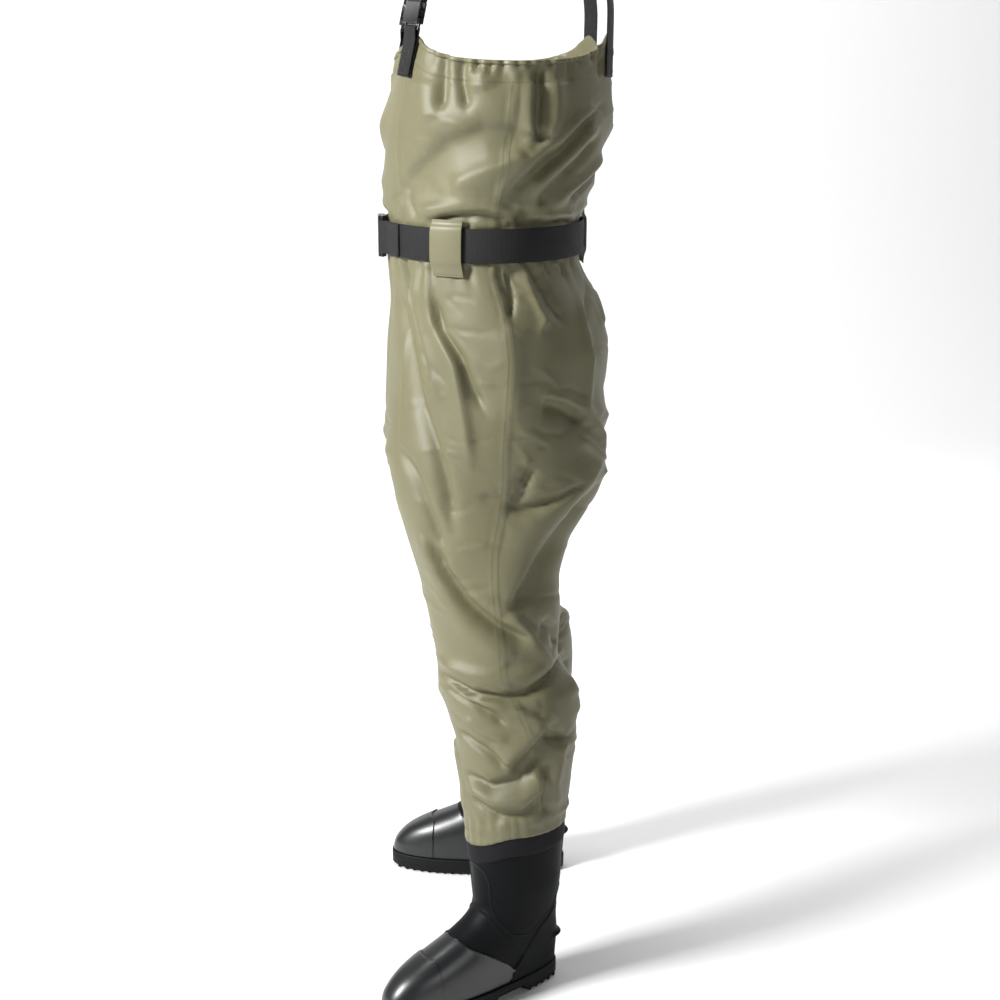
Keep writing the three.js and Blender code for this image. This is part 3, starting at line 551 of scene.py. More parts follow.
def webbing(colour):
    m = Shader("woven_webbing", colour, 0.72, Specular_IOR_Level=0.25)
    weave = m.math("MULTIPLY", m.wave(190.0, "X"), m.wave(260.0, "DIAGONAL"))
    m.vary_colour(weave, shade(colour, 0.7), shade(colour, 1.35), 0.1, 0.9)
    m.vary_roughness(m.noise(60.0, 3), 0.55, 0.72)
    m.bump(weave, 0.0005, 0.7)
    return m


def thread(colour):
    bumps = [((1500.0, 2), 0.0002, 0.5)]
    return noisy("bonded_thread", colour, 0.55, (400.0, 2), (0.8, 1.15), bumps=bumps, Sheen_Weight=0.15)


def boot_rubber(name, colour, worn, shine, coat):
    bumps = [((45.0, 4), 0.0008, 0.16), ((1200.0, 2), 0.00006, 0.5)]
    return noisy(
        name, colour, worn[0], (14.0, 5), (0.85, 1.2), (22.0, 5), worn, bumps,
        Specular_IOR_Level=shine, Coat_Weight=coat, Coat_Roughness=0.3,
    )


FELT_COLOUR = (0.05, 0.055, 0.06)
MADE = {}


def materials():
    """The object's finishes, made once from the colours in the settings."""
    if MADE:
        return MADE
    s = bpy.context.scene.waders_finish
    plastic, band, sole = tuple(s.plastic_colour), tuple(s.band_colour), shade(s.boot_colour, 0.8)
    finishes = {
        "cloth": coated_cloth(tuple(s.cloth_colour)),
        "webbing": webbing(tuple(s.webbing_colour)),
        "thread": thread(shade(s.cloth_colour, 0.8)),
        "dark_thread": thread(shade(s.webbing_colour, 1.6)),
        "plastic": noisy(
            "moulded_plastic", plastic, 0.26, (40.0, 3), (0.85, 1.2), (90.0, 4), (0.2, 0.36),
            [((900.0, 3), 0.0001, 0.35)], Coat_Weight=0.15, Coat_Roughness=0.2,
        ),
        # the glossy rubber is the boot colour lightened 1.4 times, a painted sheen standing in for the
        # vamp's reflections
        "gloss": boot_rubber("glossy_rubber_painted_sheen", shade(s.boot_colour, 1.4), (0.3, 0.42), 0.55, 0.25),
        "satin": boot_rubber("satin_rubber", tuple(s.boot_colour), (0.46, 0.6), 0.08, 0.0),
        "sole": noisy(
            "sole_rubber", sole, 0.58, (20.0, 4), (0.8, 1.3), (40.0, 4), (0.5, 0.7),
            [((500.0, 4), 0.0003, 0.5)], Specular_IOR_Level=0.2,
        ),
        "band": noisy(
            "matte_band", band, 0.74, (26.0, 4), (0.88, 1.14), bumps=[((700.0, 3), 0.0002, 0.5)],
            Specular_IOR_Level=0.15,
        ),
        "felt": noisy(
            "insole_felt", FELT_COLOUR, 0.9, (120.0, 4), (0.7, 1.3), bumps=[((900.0, 4), 0.0006, 0.8)],
            Sheen_Weight=0.3,
        ),
    }
    MADE.update({key: finish.material for key, finish in finishes.items()})
    return MADE


# ---- settings ----
class WadersCloth(PropertyGroup):
    """How the cloth is divided, how thick and how slack it is"""

    rows: IntProperty(name="Rows", description="Rings of cloth from hem to cuff", default=289, min=40)
    columns: IntProperty(name="Columns", description="Cloth columns round one half", default=124, min=20)
    wall: FloatProperty(name="Wall", description="Thickness of the cloth", default=0.001, unit="LENGTH")
    slack: FloatProperty(
        name="Slack", description="Extra length cut into the cloth", default=0.028, subtype="FACTOR"
    )
    frames: IntProperty(name="Frames", description="Steps of settling", default=24, min=0)


class WadersFinish(PropertyGroup):
    """Colours of the finishes"""

    cloth_colour: FloatVectorProperty(
        name="Cloth",
        description="Colour of the coated cloth",
        default=(0.138, 0.129, 0.070),
        subtype="COLOR",
    )
    webbing_colour: FloatVectorProperty(
        name="Webbing",
        description="Colour of belt and straps",
        default=(0.012, 0.012, 0.012),
        subtype="COLOR",
    )
    plastic_colour: FloatVectorProperty(
        name="Plastic",
        description="Colour of the buckles",
        default=(0.012, 0.012, 0.013),
        subtype="COLOR",
    )
    boot_colour: FloatVectorProperty(
        name="Boots",
        description="Colour of the boots' rubber",
        default=(0.0045, 0.005, 0.0055),
        subtype="COLOR",
    )
    band_colour: FloatVectorProperty(
        name="Band",
        description="Colour of the boot bands",
        default=(0.009, 0.008, 0.010),
        subtype="COLOR",
    )


# ---- the garment ----
HALVES = {}  # the settled grid of each half, which the hem and the stitches follow


def inner_angle(z, side):
    """Angle at which a half's outline meets the middle plane, or a half turn where it doesn't."""
    cx, _, rx, _, _ = section(z, side)
    return np.arccos(np.clip(-cx / rx, -1, 1))


def pleats(angle, distance, seed, count, depth, width, length, span=math.pi):
    """Sharp little pleats that start at an edge and fade with the distance from it."""
    rng = np.random.default_rng(seed)
    total = np.zeros(np.broadcast(angle, distance).shape)
    for k in range(count):
        at = -span + 2 * span * (k + rng.uniform(-0.35, 0.35)) / count
        lean = rng.uniform(-0.5, 0.5) * width
        reach = length * rng.uniform(0.45, 1.5)
        opening = width * rng.uniform(0.5, 1.2) * (1 + 0.8 * distance / length)
        off = (angle - at - lean * distance / length) / opening
        total -= depth * rng.uniform(0.5, 1.3) * np.exp(-off * off) * np.exp(-((distance / reach) ** 2))
    return total


def creases(y, z, seed, count, height, reach):
    """Small irregular creases scattered over the cloth, as short bent paths."""
    rng = np.random.default_rng(seed)
    points = np.stack([y, z], -1)
    total = np.zeros(y.shape)
    for _ in range(count):
        start = np.array([rng.uniform(-150, 150), rng.uniform(240, 1290)])
        heading = rng.uniform(-1.1, 0.4)
        length = rng.uniform(24, 95)
        bend = rng.uniform(-0.5, 0.5)
        path = [start]
        for _step in range(3):
            path.append(path[-1] + length / 3 * np.array([math.cos(heading), math.sin(heading)]))
            heading += bend
        near = (np.abs(z - start[1]) < length + 20) & (np.abs(y - start[0]) < length + 20)
        signed, share = near_path(points[near], path)
        wide, narrow = rng.uniform(0.8, 1.6) * reach, rng.uniform(0.4, 0.8) * reach
        ends = smooth(share / 0.3) * smooth((1 - share) / 0.3)
        sign = rng.choice((-1, 1))
        across = signed / np.where(signed > 0, wide, narrow)
        total[near] += sign * height * ends * np.exp(-((across**2 + 0.02) ** 0.65))
    return total


# What keeps the right half from repeating the left: share of depth, shift up, mirror, seeds of the
# creases and of the pleats.
VARIED = {"left": (1, 0, 1, 5, 20), "right": (0.94, 9, -1, 11, 40)}
# Pleats as how many, how deep, how wide in radians and how long.
HEM_PLEATS = (40, 5.5, 0.026, 17)
ABOVE_BELT_PLEATS = (30, 5.0, 0.03, 14)
BELOW_BELT_PLEATS = (30, 6.5, 0.032, 30)
CUFF_PLEATS = (52, 4.2, 0.04, 26)
CREASES = (170, 2.0, 3.2)  # how many, how high and how wide
# Seams down the cloth, as their angle round a half and the height where they end.
SEAMS = ((0.0, 250), (-1.08, 800))


def drawn_folds(points, angle, z, torso, side):
    """Height of the drawn folds and the scattered creases at each point of a half."""
    depth_share, shift, flip, crease_seed, _ = VARIED[side]
    x, y = points[..., 0], points[..., 1]
    y = y - (ANKLES[side].y - ANKLES["left"].y) / MM * below_crotch(z)
    outer_side = smooth((np.cos(angle) + 0.05) / 0.35)
    facing = 1 - outer_side
    front = smooth((-np.sin(angle) - 0.35) / 0.35) * torso
    back = smooth((np.sin(angle) - 0.35) / 0.35) * torso
    inside = smooth((-np.cos(angle) + 0.05) / 0.35) * (1 - torso)
    across = np.stack([x * flip, z], -1)
    beside = np.stack([y * depth_share, z + shift], -1)
    height = fold_height(beside, SIDE_FOLDS, 1.7, np.cos(angle)) * outer_side
    height += fold_height(across, FRONT_FOLDS, 1.0, np.sin(angle)) * front * facing
    height += fold_height(across, BACK_FOLDS, 1.2, np.sin(angle)) * back * (0.2 + 0.8 * facing)
    height += fold_height(np.stack([-y * 0.9, z + 14], -1), SIDE_FOLDS, 1.0) * inside
    height += creases(y * np.where(np.cos(angle) > 0, 1, -1), z, crease_seed, *CREASES)
    return height


def add_pleats(height, angle, z, hem_drop, cuff_up, seed):
    """Adds the pleats that start at the hem, the belt and the cuff, and the rolls of hem and cuff."""
    above = np.abs(z - (BELT_Z + BELT_WIDTH / 2))
    below = np.abs(z - (BELT_Z - BELT_WIDTH / 2))
    height += pleats(angle, hem_drop, seed, *HEM_PLEATS)
    height += 1.2 * hump(hem_drop, 29, 3) - 1.6 * hump(hem_drop, 24, 2)
    height += pleats(angle, above, seed + 1, *ABOVE_BELT_PLEATS) * (z > BELT_Z)
    height += pleats(angle, below, seed + 2, *BELOW_BELT_PLEATS) * (z <= BELT_Z)
    height += pleats(angle, cuff_up, seed + 3, *CUFF_PLEATS)
    height += 1.6 * hump(cuff_up, 22, 5)


def add_seams(height, angle, z, side):
    """Adds the seams, as puckered ridges with a groove on each side."""
    for seam_angle, low in SEAMS:
        across = (angle - seam_angle) * section(z, side)[3]
        seam = 1.0 * hump(across, 0, 5, 4) - 0.7 * hump(np.abs(across), 6.5, 1.6)
        pucker = 1 + 0.6 * np.sin(z / 7.0 + 2 * np.sin(z / 23))
        height += seam * pucker * smooth((z - low) / 40)


def limited(height, angle, torso, hem_drop, cuff_up):
    """Keeps the folds within their limits, clear of the boot, and flat under the straps."""
    crest = FOLD_CREST - FRONT_CREST_LOSS * smooth((-np.sin(angle) - 0.8) / 0.15) * torso
    limit = np.where(height > 0, crest, FOLD_DEPTH)
    height = limit * np.tanh(height / limit)
    over_boot = smooth((34 - cuff_up) / 12)
    height = np.maximum(height, -FOLD_DEPTH * (1 - over_boot) - 1.4 * over_boot)
    strap_off = (np.arcsin(np.abs(np.sin(angle))) - STRAP_ANGLE) / 0.14
    under_strap = hump(strap_off, 0, 1, 4) * smooth((32 - hem_drop) / 8)
    return height * (1 - under_strap) - 0.6 * under_strap


def half_grid(side, rows, columns):
    """One half of the garment with its sculpted folds, and how firmly each point is held."""
    levels = np.linspace(0, 1, rows)
    level_z = HEM_Z + (CUFF_Z - HEM_Z) * levels
    inner = inner_angle(level_z, side)
    share = np.linspace(-1, 1, columns + 1)
    angle = inner[:, None] * share[None, :]
    base_z = np.repeat(level_z[:, None], columns + 1, 1)
    rise = hem_rise(angle) * smooth((base_z - RISE_FROM_Z) / (HEM_Z - RISE_FROM_Z))
    climb = cuff_rise(angle) * smooth((CUFF_EASE_Z - base_z) / (CUFF_EASE_Z - CUFF_Z))
    z = base_z + rise + climb
    points = cloth_point(z, angle, 0.0, side)
    out = np.stack([np.cos(angle), np.sin(angle), 0 * angle], -1)

    torso = smooth((z - 690) / 60)
    hem_drop = HEM_Z + hem_rise(angle) - z
    cuff_up = z - CUFF_Z - cuff_rise(angle)
    height = drawn_folds(points, angle, z, torso, side)
    add_pleats(height, angle, z, hem_drop, cuff_up, VARIED[side][4])
    loops = sum(hump(angle, at, 0.16, 4) for at in (-LOOP_TURN, math.pi / 2))
    reach = BELT_WIDTH / 2 + 5 + (6 + 10 * (z < BELT_Z)) * loops
    at_belt = smooth((reach - np.abs(z - BELT_Z)) / 7)
    at_cuff = smooth((8 - cuff_up) / 8)
    height = height * (1 - at_belt) * (1 - 0.75 * at_cuff) - 2.0 * at_belt
    add_seams(height, angle, z, side)
    height = limited(height, angle, torso, hem_drop, cuff_up)

    held = np.maximum(at_belt, np.maximum(at_cuff, smooth((10 - hem_drop) / 6)))
    moved = points + out_turned(out, z, side) * height[..., None]
    middle_edge = (np.abs(share) == 1)[None, :] & (inner < math.pi - 1e-6)[:, None]
    moved[..., 0] = np.where(middle_edge, 0.0, moved[..., 0])
    return moved, held


def out_turned(out, z, side):
    """Level directions turned out with the leg at their heights."""
    turn = section(z, side)[4]
    c, s = np.cos(turn), np.sin(turn)
    return np.stack([out[..., 0] * c - out[..., 1] * s, out[..., 0] * s + out[..., 1] * c, out[..., 2]], -1)


def weld(points):
    """Distinct points, and for each given point the number of its distinct one."""
    keys = np.round(points / 0.02).astype(np.int64)
    _, first, number = np.unique(keys, axis=0, return_index=True, return_inverse=True)
    return points[first], number.ravel()


def doubled(values, axis):
    """The same field with one more value between each two, on a cubic through its neighbours."""
    values = np.moveaxis(values, axis, 0)
    padded = np.concatenate([values[:1], values, values[-1:]])
    between = (9 * (padded[1:-2] + padded[2:-1]) - padded[:-3] - padded[3:]) / 16
    result = np.empty((len(values) * 2 - 1, *values.shape[1:]))
    result[::2] = values
    result[1::2] = between
    return np.moveaxis(result, 0, axis)


CLOTH_PHYSICS = {
    "quality": 5,
    "mass": 0.25,
    "tension_stiffness": 25,
    "compression_stiffness": 18,
    "shear_stiffness": 8,
    "bending_stiffness": 0.35,
    "air_damping": 2,
    "pin_stiffness": 1.0,
}


def settle(points, faces, held, settings):
    """Lets the cloth settle under its own slack on a body inside it, and returns the new places."""
    cloth = new_object("settling_cloth", points, faces)
    cloth.shape_key_add(name="Basis")
    cut = cloth.shape_key_add(name="Cut")
    stretched = points.copy()
    stretched[:, 2] = points[:, 2] * (1 + settings.slack)
    centre = points[:, :2].mean(0)
    stretched[:, :2] = (points[:, :2] - centre) * (1 + settings.slack * 0.35) + centre
    cut.data.foreach_set("co", stretched.ravel())
    group = cloth.vertex_groups.new(name="held")
    # Even the loosest cloth is held by nearly half, so that it keeps its drawn folds.
    weights = np.clip(0.46 + 0.54 * held, 0, 1)
    for k, w in enumerate(weights):
        group.add([k], float(w), "REPLACE")
    inner = []
    for side in SIDES:
        levels = np.linspace(HEM_Z + 20, CUFF_Z - 4, 60)
        angle = inner_angle(levels, side)[:, None] * np.linspace(-1, 1, 37)[None, :]
        grid = cloth_point(np.repeat(levels[:, None], 37, 1), angle, -FOLD_DEPTH - WEARER_CLEAR, side)
        grid[..., 0] = np.maximum(grid[..., 0], 0.0)
        grid[..., 0] *= SIGN[side]
        body = new_object("wearer", to_world(grid), grid_faces(60, 37, flip=side == "right"))
        body.modifiers.new("Collision", "COLLISION")
        body.collision.thickness_outer = 0.002
        body.collision.cloth_friction = 8
        inner.append(body)
    mod = cloth.modifiers.new("Cloth", "CLOTH")
    for key, value in CLOTH_PHYSICS.items():
        setattr(mod.settings, key, value)
    mod.settings.vertex_group_mass = "held"
    mod.settings.rest_shape_key = cut
    mod.settings.effector_weights.gravity = 0.6
    mod.collision_settings.distance_min = 0.003
    mod.collision_settings.collision_quality = 2
    scene = bpy.context.scene
    for number in range(1, settings.frames + 1):
        scene.frame_set(number)
    evaluated = cloth.evaluated_get(bpy.context.evaluated_depsgraph_get())
    settled = np.empty(len(points) * 3)
    evaluated.data.vertices.foreach_get("co", settled)
    settled = settled.reshape(-1, 3)
    scene.frame_set(1)
    bpy.data.objects.remove(cloth)
    for body in inner:
        bpy.data.objects.remove(body)
    moved = settled - points
    far = np.linalg.norm(moved, axis=1, keepdims=True)
    return points + moved * np.minimum(1, MOST_SETTLING / np.maximum(far, 1e-9))


class WADERS_OT_garment(Operator):
    """Makes the garment's two halves of coated cloth, sculpts their folds and lets them settle"""

    bl_idname = "waders.garment"
    bl_label = "Garment"

    def execute(self, context):
        settings = context.scene.waders_cloth
        rows, columns = settings.rows, settings.columns + 1
        fine, coarse, helds = {}, [], []
        for side in SIDES:
            grid, held = half_grid(side, rows, columns - 1)
            grid[..., 0] *= SIGN[side]
            fine[side] = to_world(grid)
            coarse.append(grid[::2, ::2])
            helds.append(held[::2, ::2].ravel())
        small = coarse[0].shape[:2]
        moves = {side: np.zeros((*small, 3)) for side in SIDES}
        if settings.frames:
            points, number = weld(np.concatenate([grid.reshape(-1, 3) for grid in coarse]))
            held = np.zeros(len(points))
            np.maximum.at(held, number, np.concatenate(helds))
            count = small[0] * small[1]
            faces = []
            for k, side in enumerate(SIDES):
                quads = grid_faces(*small, flip=side == "right")
                faces += [tuple(dict.fromkeys(number[k * count + np.array(q)])) for q in quads]
            start = to_world(points)
            moved = settle(start, [f for f in faces if len(f) > 2], held, settings) - start
            for k, side in enumerate(SIDES):
                moves[side] = moved[number[k * count : (k + 1) * count]].reshape(*small, 3)
        for side in SIDES:
            HALVES[side] = fine[side] + doubled(doubled(moves[side], 0), 1)
            self.add_half(side, HALVES[side], settings)
        return {"FINISHED"}

    @staticmethod
    def add_half(side, grid, settings):
        rows, columns = grid.shape[:2]
        flat, number = weld(grid.reshape(-1, 3) / MM)
        quads = grid_faces(rows, columns, flip=side == "right")
        faces = [tuple(dict.fromkeys(number[np.array(q)])) for q in quads]
        across = np.linspace(0, 0.56, columns)
        uv = np.zeros((len(flat), 2))
        uv[number] = np.stack([np.tile(across, rows), grid[..., 2].ravel()], -1)
        obj = new_object(f"{side}_garment_cloth", flat * MM, [f for f in faces if len(f) > 2], uv=uv)
        thicken(obj, settings.wall)
        obj.data.materials.append(materials()["cloth"])
        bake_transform(obj)
        parts = (
            "front_panel",
            "back_panel",
            "shin_front_panel",
            "shin_back_panel",
            "knee_cloth",
            "seam_tape",
        )
        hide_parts(*[f"{side}_{p}" for p in parts])


def hem_ring(row):
    """One ring of the settled cloth round the whole garment, from the front middle, as points."""
    left, right = HALVES["left"][row], HALVES["right"][row]
    return np.concatenate([left[:-1], right[::-1][:-1]])


def ring_outwards(ring):
    """Level directions outwards from a closed ring."""
    ahead = np.roll(ring, -1, 0) - np.roll(ring, 1, 0)
    ahead[:, 2] = 0
    ahead = unit(ahead)
    return np.stack([ahead[:, 1], -ahead[:, 0], 0 * ahead[:, 0]], -1)


class WADERS_OT_hem(Operator):
    """Folds the hem over its elastic as a casing inside the top edge"""

    bl_idname = "waders.hem"
    bl_label = "Hem casing"

    def execute(self, context):
        top = hem_ring(0)
        out = ring_outwards(top)
        rings = [hem_ring(1) + out * 0.0011 - UP * 0.0005]
        rings += [top + out * 0.0012, top + out * 0.0003 + UP * 0.0014, top - out * 0.0022 + UP * 0.0009]
        for row in range(0, 10, 2):
            ring = hem_ring(row)
            rings.append(ring - ring_outwards(ring) * 0.0034 - UP * (0.0012 if row == 0 else 0.0))
        grid = np.stack(rings)
        obj = new_object("hem_casing", grid, grid_faces(grid.shape[0], grid.shape[1], ring=True, flip=True))
        subdivide(obj, 1)
        thicken(obj, 0.0007, 0.0)
        finish_piece(obj, materials()["cloth"], "garment", ("hem_facing", "hem_elastic"))
        return {"FINISHED"}


# ---- webbing ----
def ribbon(name, stations, width, thickness):
    """A strip of webbing with rounded edges. A station is a place, the way across and the way out."""
    section_points = []
    steps = 6
    edge = thickness / 2
    for start, centre in ((-math.pi / 2, width / 2 - edge), (math.pi / 2, -width / 2 + edge)):
        for k in range(steps + 1):
            a = start + math.pi * k / steps
            section_points.append((centre + edge * math.cos(a), edge + edge * math.sin(a)))
    count = len(section_points)
    points, uv = [], []
    length = 0.0
    last = None
    for at, across, out in stations:
        if last is not None:
            length += float(np.linalg.norm(at - last))
        last = at
        for w, t in section_points:
            points.append(at + across * w + out * t)
            uv.append((length * MM, w * MM))
    rings = len(stations)
    faces = grid_faces(rings, count, ring=True)
    faces.append(tuple(range(count))[::-1])
    faces.append(tuple(range((rings - 1) * count, rings * count)))
    obj = new_object(name, to_world(points), faces, uv=uv)
    recalc_outwards(obj)
    return obj


TURN_RADIUS = BAR / 2 * math.sqrt(2) + GAP


def bar_turn(centre, outward, away, across, steps=14):
    """Stations of a half turn round a buckle's bar."""
    turn = []
    for k in range(steps + 1):
        a = math.pi * k / steps
        out = -outward * math.cos(a) + away * math.sin(a)
        turn.append((centre + out * TURN_RADIUS, across, out))
    return turn


def buckle_bars(thick):
    """How far the socket's bar and the plug's bar lie from the mouth between them."""
    length, stem, slot = thick * 2.8, thick * 1.5, 5
    return -length - slot - BAR / 2, stem + slot + BAR / 2


WAIST = (0.0, -24.0, 183.5, 136.7)  # centre and half-sizes of the garment under the belt
BELT_RX = WAIST[2] + BELT_CLEAR
BELT_RY = WAIST[3] + BELT_CLEAR
BELT_BUCKLE_THICK = 11
LOOP_TURN = math.radians(26)


def belt_station(from_front, lift, inwards):
    """One station of the belt, at an angle round the waist from the front."""
    a = from_front - math.pi / 2
    at = np.array([(BELT_RX + lift) * math.cos(a), WAIST[1] + (BELT_RY + lift) * math.sin(a), BELT_Z])
    out = unit([math.cos(a) / BELT_RX, math.sin(a) / BELT_RY, 0])
    return at, UP, -out if inwards else out


class WADERS_OT_belt(Operator):
    """Threads the waist belt's webbing through its buckle, and softens the buckle and the keeper"""

    bl_idname = "waders.belt"
    bl_label = "Waist belt"

    def execute(self, context):
        m = materials()
        socket_bar, plug_bar = buckle_bars(BELT_BUCKLE_THICK)
        buckle_y = WAIST[1] - WAIST[3] - GAP * 2 - BELT_BUCKLE_THICK / 2
        ends = 52 / BELT_RX
        run = [belt_station(a, BELT_THICK, True) for a in np.linspace(ends, 2 * math.pi - ends, 150)]
        front = np.array([0.0, -1.0, 0.0])
        plug = bar_turn(np.array([plug_bar, buckle_y, BELT_Z]), front, np.array([-1.0, 0, 0]), UP)
        socket = bar_turn(np.array([socket_bar, buckle_y, BELT_Z]), front, np.array([1.0, 0, 0]), UP)
        lift = BELT_THICK + 0.7
        tail = [belt_station(a, lift, False) for a in np.linspace(0.3, 0.84, 18)]
        stub = [belt_station(-a, lift, False) for a in np.linspace(0.3, 0.54, 9)]
        path = tail[::-1] + plug[::-1] + run + socket + stub
        belt = ribbon("waist_belt", mirrored(path), BELT_WIDTH, BELT_THICK)
        finish_piece(belt, m["webbing"], "garment", ("belt_webbing",))
        for node in ("belt_buckle_socket", "belt_buckle_plug"):
            softened(node, "garment", 0.0011, m["plastic"])
        softened("belt_buckle_upper_arm", "belt_upper_arm", 0.0005, m["plastic"])
        softened("belt_buckle_lower_arm", "belt_lower_arm", 0.0005, m["plastic"])
        softened("belt_keeper", "belt_keeper", 0.0004, m["webbing"])
        return {"FINISHED"}


def softened(node, body, radius, material):
    """A moulded copy of a hard piece, with its edges rounded."""
    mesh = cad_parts[node].data.copy()
    mesh.materials.clear()
    obj = linked(f"moulded_{node}", mesh)
    made = bmesh.new()
    made.from_mesh(mesh)
    bmesh.ops.remove_doubles(made, verts=made.verts, dist=1e-5)
    bmesh.ops.dissolve_limit(made, angle_limit=math.radians(2), verts=made.verts, edges=made.edges)
    made.to_mesh(mesh)
    made.free()
    bevel = obj.modifiers.new("Rounding", "BEVEL")
    bevel.width = radius
    bevel.segments = 3
    bevel.limit_method = "ANGLE"
    bevel.angle_limit = math.radians(30)
    bevel.harden_normals = True
    mesh.shade_smooth()
    return finish_piece(obj, material, body, (node,))


def cloth_patch(name, rows, angle, spread, columns=15):
    """A strip of cloth that follows the garment: rows of height and lift, round a middle angle."""
    z = np.array([r[0] for r in rows], float)
    lift = np.array([r[1] for r in rows], float)
    angles = angle + np.linspace(-1, 1, columns)[None, :] * spread + 0 * z[:, None]
    grid = cloth_point(np.repeat(z[:, None], columns, 1), angles, lift[:, None], "left")
    return new_object(name, to_world(grid), grid_faces(len(rows), columns)), to_world(grid)


class WADERS_OT_belt_loops(Operator):
    """Sews the cloth belt loops over the belt, with their stitched lower edges"""

    bl_idname = "waders.belt_loops"
    bl_label = "Belt loops"

    def execute(self, context):
        m = materials()
        stitch_lines = []
        top, bottom = BELT_Z + BELT_WIDTH / 2, BELT_Z - BELT_WIDTH / 2
        profile = [(top + 11, 2.4), (top + 8, 2.8), (top + 4, 4.4), (top + 1.5, 7.2), (top - 3, 8.4)]
        profile += [(BELT_Z + 8, 9.0), (BELT_Z - 8, 9.2), (bottom + 3, 9.4), (bottom - 1.5, 8.6)]
        profile += [(bottom - 5, 6.4), (bottom - 11, 4.4), (bottom - 16, 3.0), (bottom - 19, 2.6)]
        for name, angle in (("left", -LOOP_TURN), ("right", LOOP_TURN - math.pi), ("back", math.pi / 2)):
            along = math.hypot(WAIST[2] * math.sin(angle), WAIST[3] * math.cos(angle))
            obj, grid = cloth_patch(f"{name}_loop_cloth", profile, angle, BELT_WIDTH / 2 / along)
            subdivide(obj, 2)
            thicken(obj, 0.0013, 0.0)
            finish_piece(obj, m["cloth"], "garment", (f"{name}_belt_loop",))
            for row in (1, -2):
                stitch_lines.append(grid[row, 1:-1] + line_outwards(grid[row, 1:-1]) * 0.0009)
        stitches("belt_loop_stitches", stitch_lines, 0.0032, m["thread"], "garment")
        return {"FINISHED"}


def line_outwards(line):
    """Level directions outwards from an open line."""
    ahead = unit(np.gradient(line, axis=0))
    return np.stack([ahead[:, 1], -ahead[:, 0], 0 * ahead[:, 0]], -1)


# ---- repeats by geometry nodes ----
def instance_tree(name, material):
    """Places a small capsule at each step along the given lines, turned along them."""
    tree = bpy.data.node_groups.new(name, "GeometryNodeTree")
    face = tree.interface
    face.new_socket("Lines", in_out="INPUT", socket_type="NodeSocketGeometry")
    pitch = face.new_socket("Pitch", in_out="INPUT", socket_type="NodeSocketFloat")
    length = face.new_socket("Length", in_out="INPUT", socket_type="NodeSocketFloat")
    radius = face.new_socket("Radius", in_out="INPUT", socket_type="NodeSocketFloat")
    face.new_socket("Geometry", in_out="OUTPUT", socket_type="NodeSocketGeometry")
    nodes = tree.nodes
    given = nodes.new("NodeGroupInput")
    result = nodes.new("NodeGroupOutput")
    curve = nodes.new("GeometryNodeMeshToCurve")
    points = nodes.new("GeometryNodeCurveToPoints")
    points.mode = "LENGTH"
    ball = nodes.new("GeometryNodeMeshIcoSphere")
    ball.inputs["Subdivisions"].default_value = 1
    shape = nodes.new("GeometryNodeTransform")
    size = nodes.new("ShaderNodeCombineXYZ")
    place = nodes.new("GeometryNodeInstanceOnPoints")
    realize = nodes.new("GeometryNodeRealizeInstances")
    finish = nodes.new("GeometryNodeSetMaterial")
    finish.inputs["Material"].default_value = material
    for source, out, target, into in (
        (given, "Lines", curve, "Mesh"),
        (curve, "Curve", points, "Curve"),
        (given, "Pitch", points, "Length"),
        (given, "Radius", size, "X"),
        (given, "Radius", size, "Y"),
        (given, "Length", size, "Z"),
        (ball, "Mesh", shape, "Geometry"),
        (size, "Vector", shape, "Scale"),
        (points, "Points", place, "Points"),
        (shape, "Geometry", place, "Instance"),
        (points, "Rotation", place, "Rotation"),
        (place, "Instances", realize, "Geometry"),
        (realize, "Geometry", finish, "Geometry"),
        (finish, "Geometry", result, "Geometry"),
    ):
        tree.links.new(source.outputs[out], target.inputs[into])
    return tree, {"pitch": pitch.identifier, "length": length.identifier, "radius": radius.identifier}


def stitches(name, lines, pitch, material, body, length=0.0011, radius=0.00038, blend=None):
    """A row of thread stitches along each line, as one plain mesh."""
    points = np.concatenate(lines)
    edges, start = [], 0
    for line in lines:
        edges += [(start + k, start + k + 1) for k in range(len(line) - 1)]
        start += len(line)
    mesh = bpy.data.meshes.new(name + "_lines")
    mesh.from_pydata([tuple(p) for p in points], edges, [])
    source = linked(name + "_lines", mesh)
    tree, inputs = instance_tree(name + "_tree", material)
    mod = source.modifiers.new("Stitch", "NODES")
    mod.node_group = tree
    mod[inputs["pitch"]] = pitch
    mod[inputs["length"]] = length
    mod[inputs["radius"]] = radius
    source.update_tag()
    graph = bpy.context.evaluated_depsgraph_get()
    made = bpy.data.meshes.new_from_object(source.evaluated_get(graph))
    bpy.data.objects.remove(source)
    obj = linked(name, made)
    made.shade_smooth()
    if blend:
        obj.data.materials.clear()
        obj.data.materials.append(material)
        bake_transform(obj)
    else:
        finish_piece(obj, material, body)
    return obj


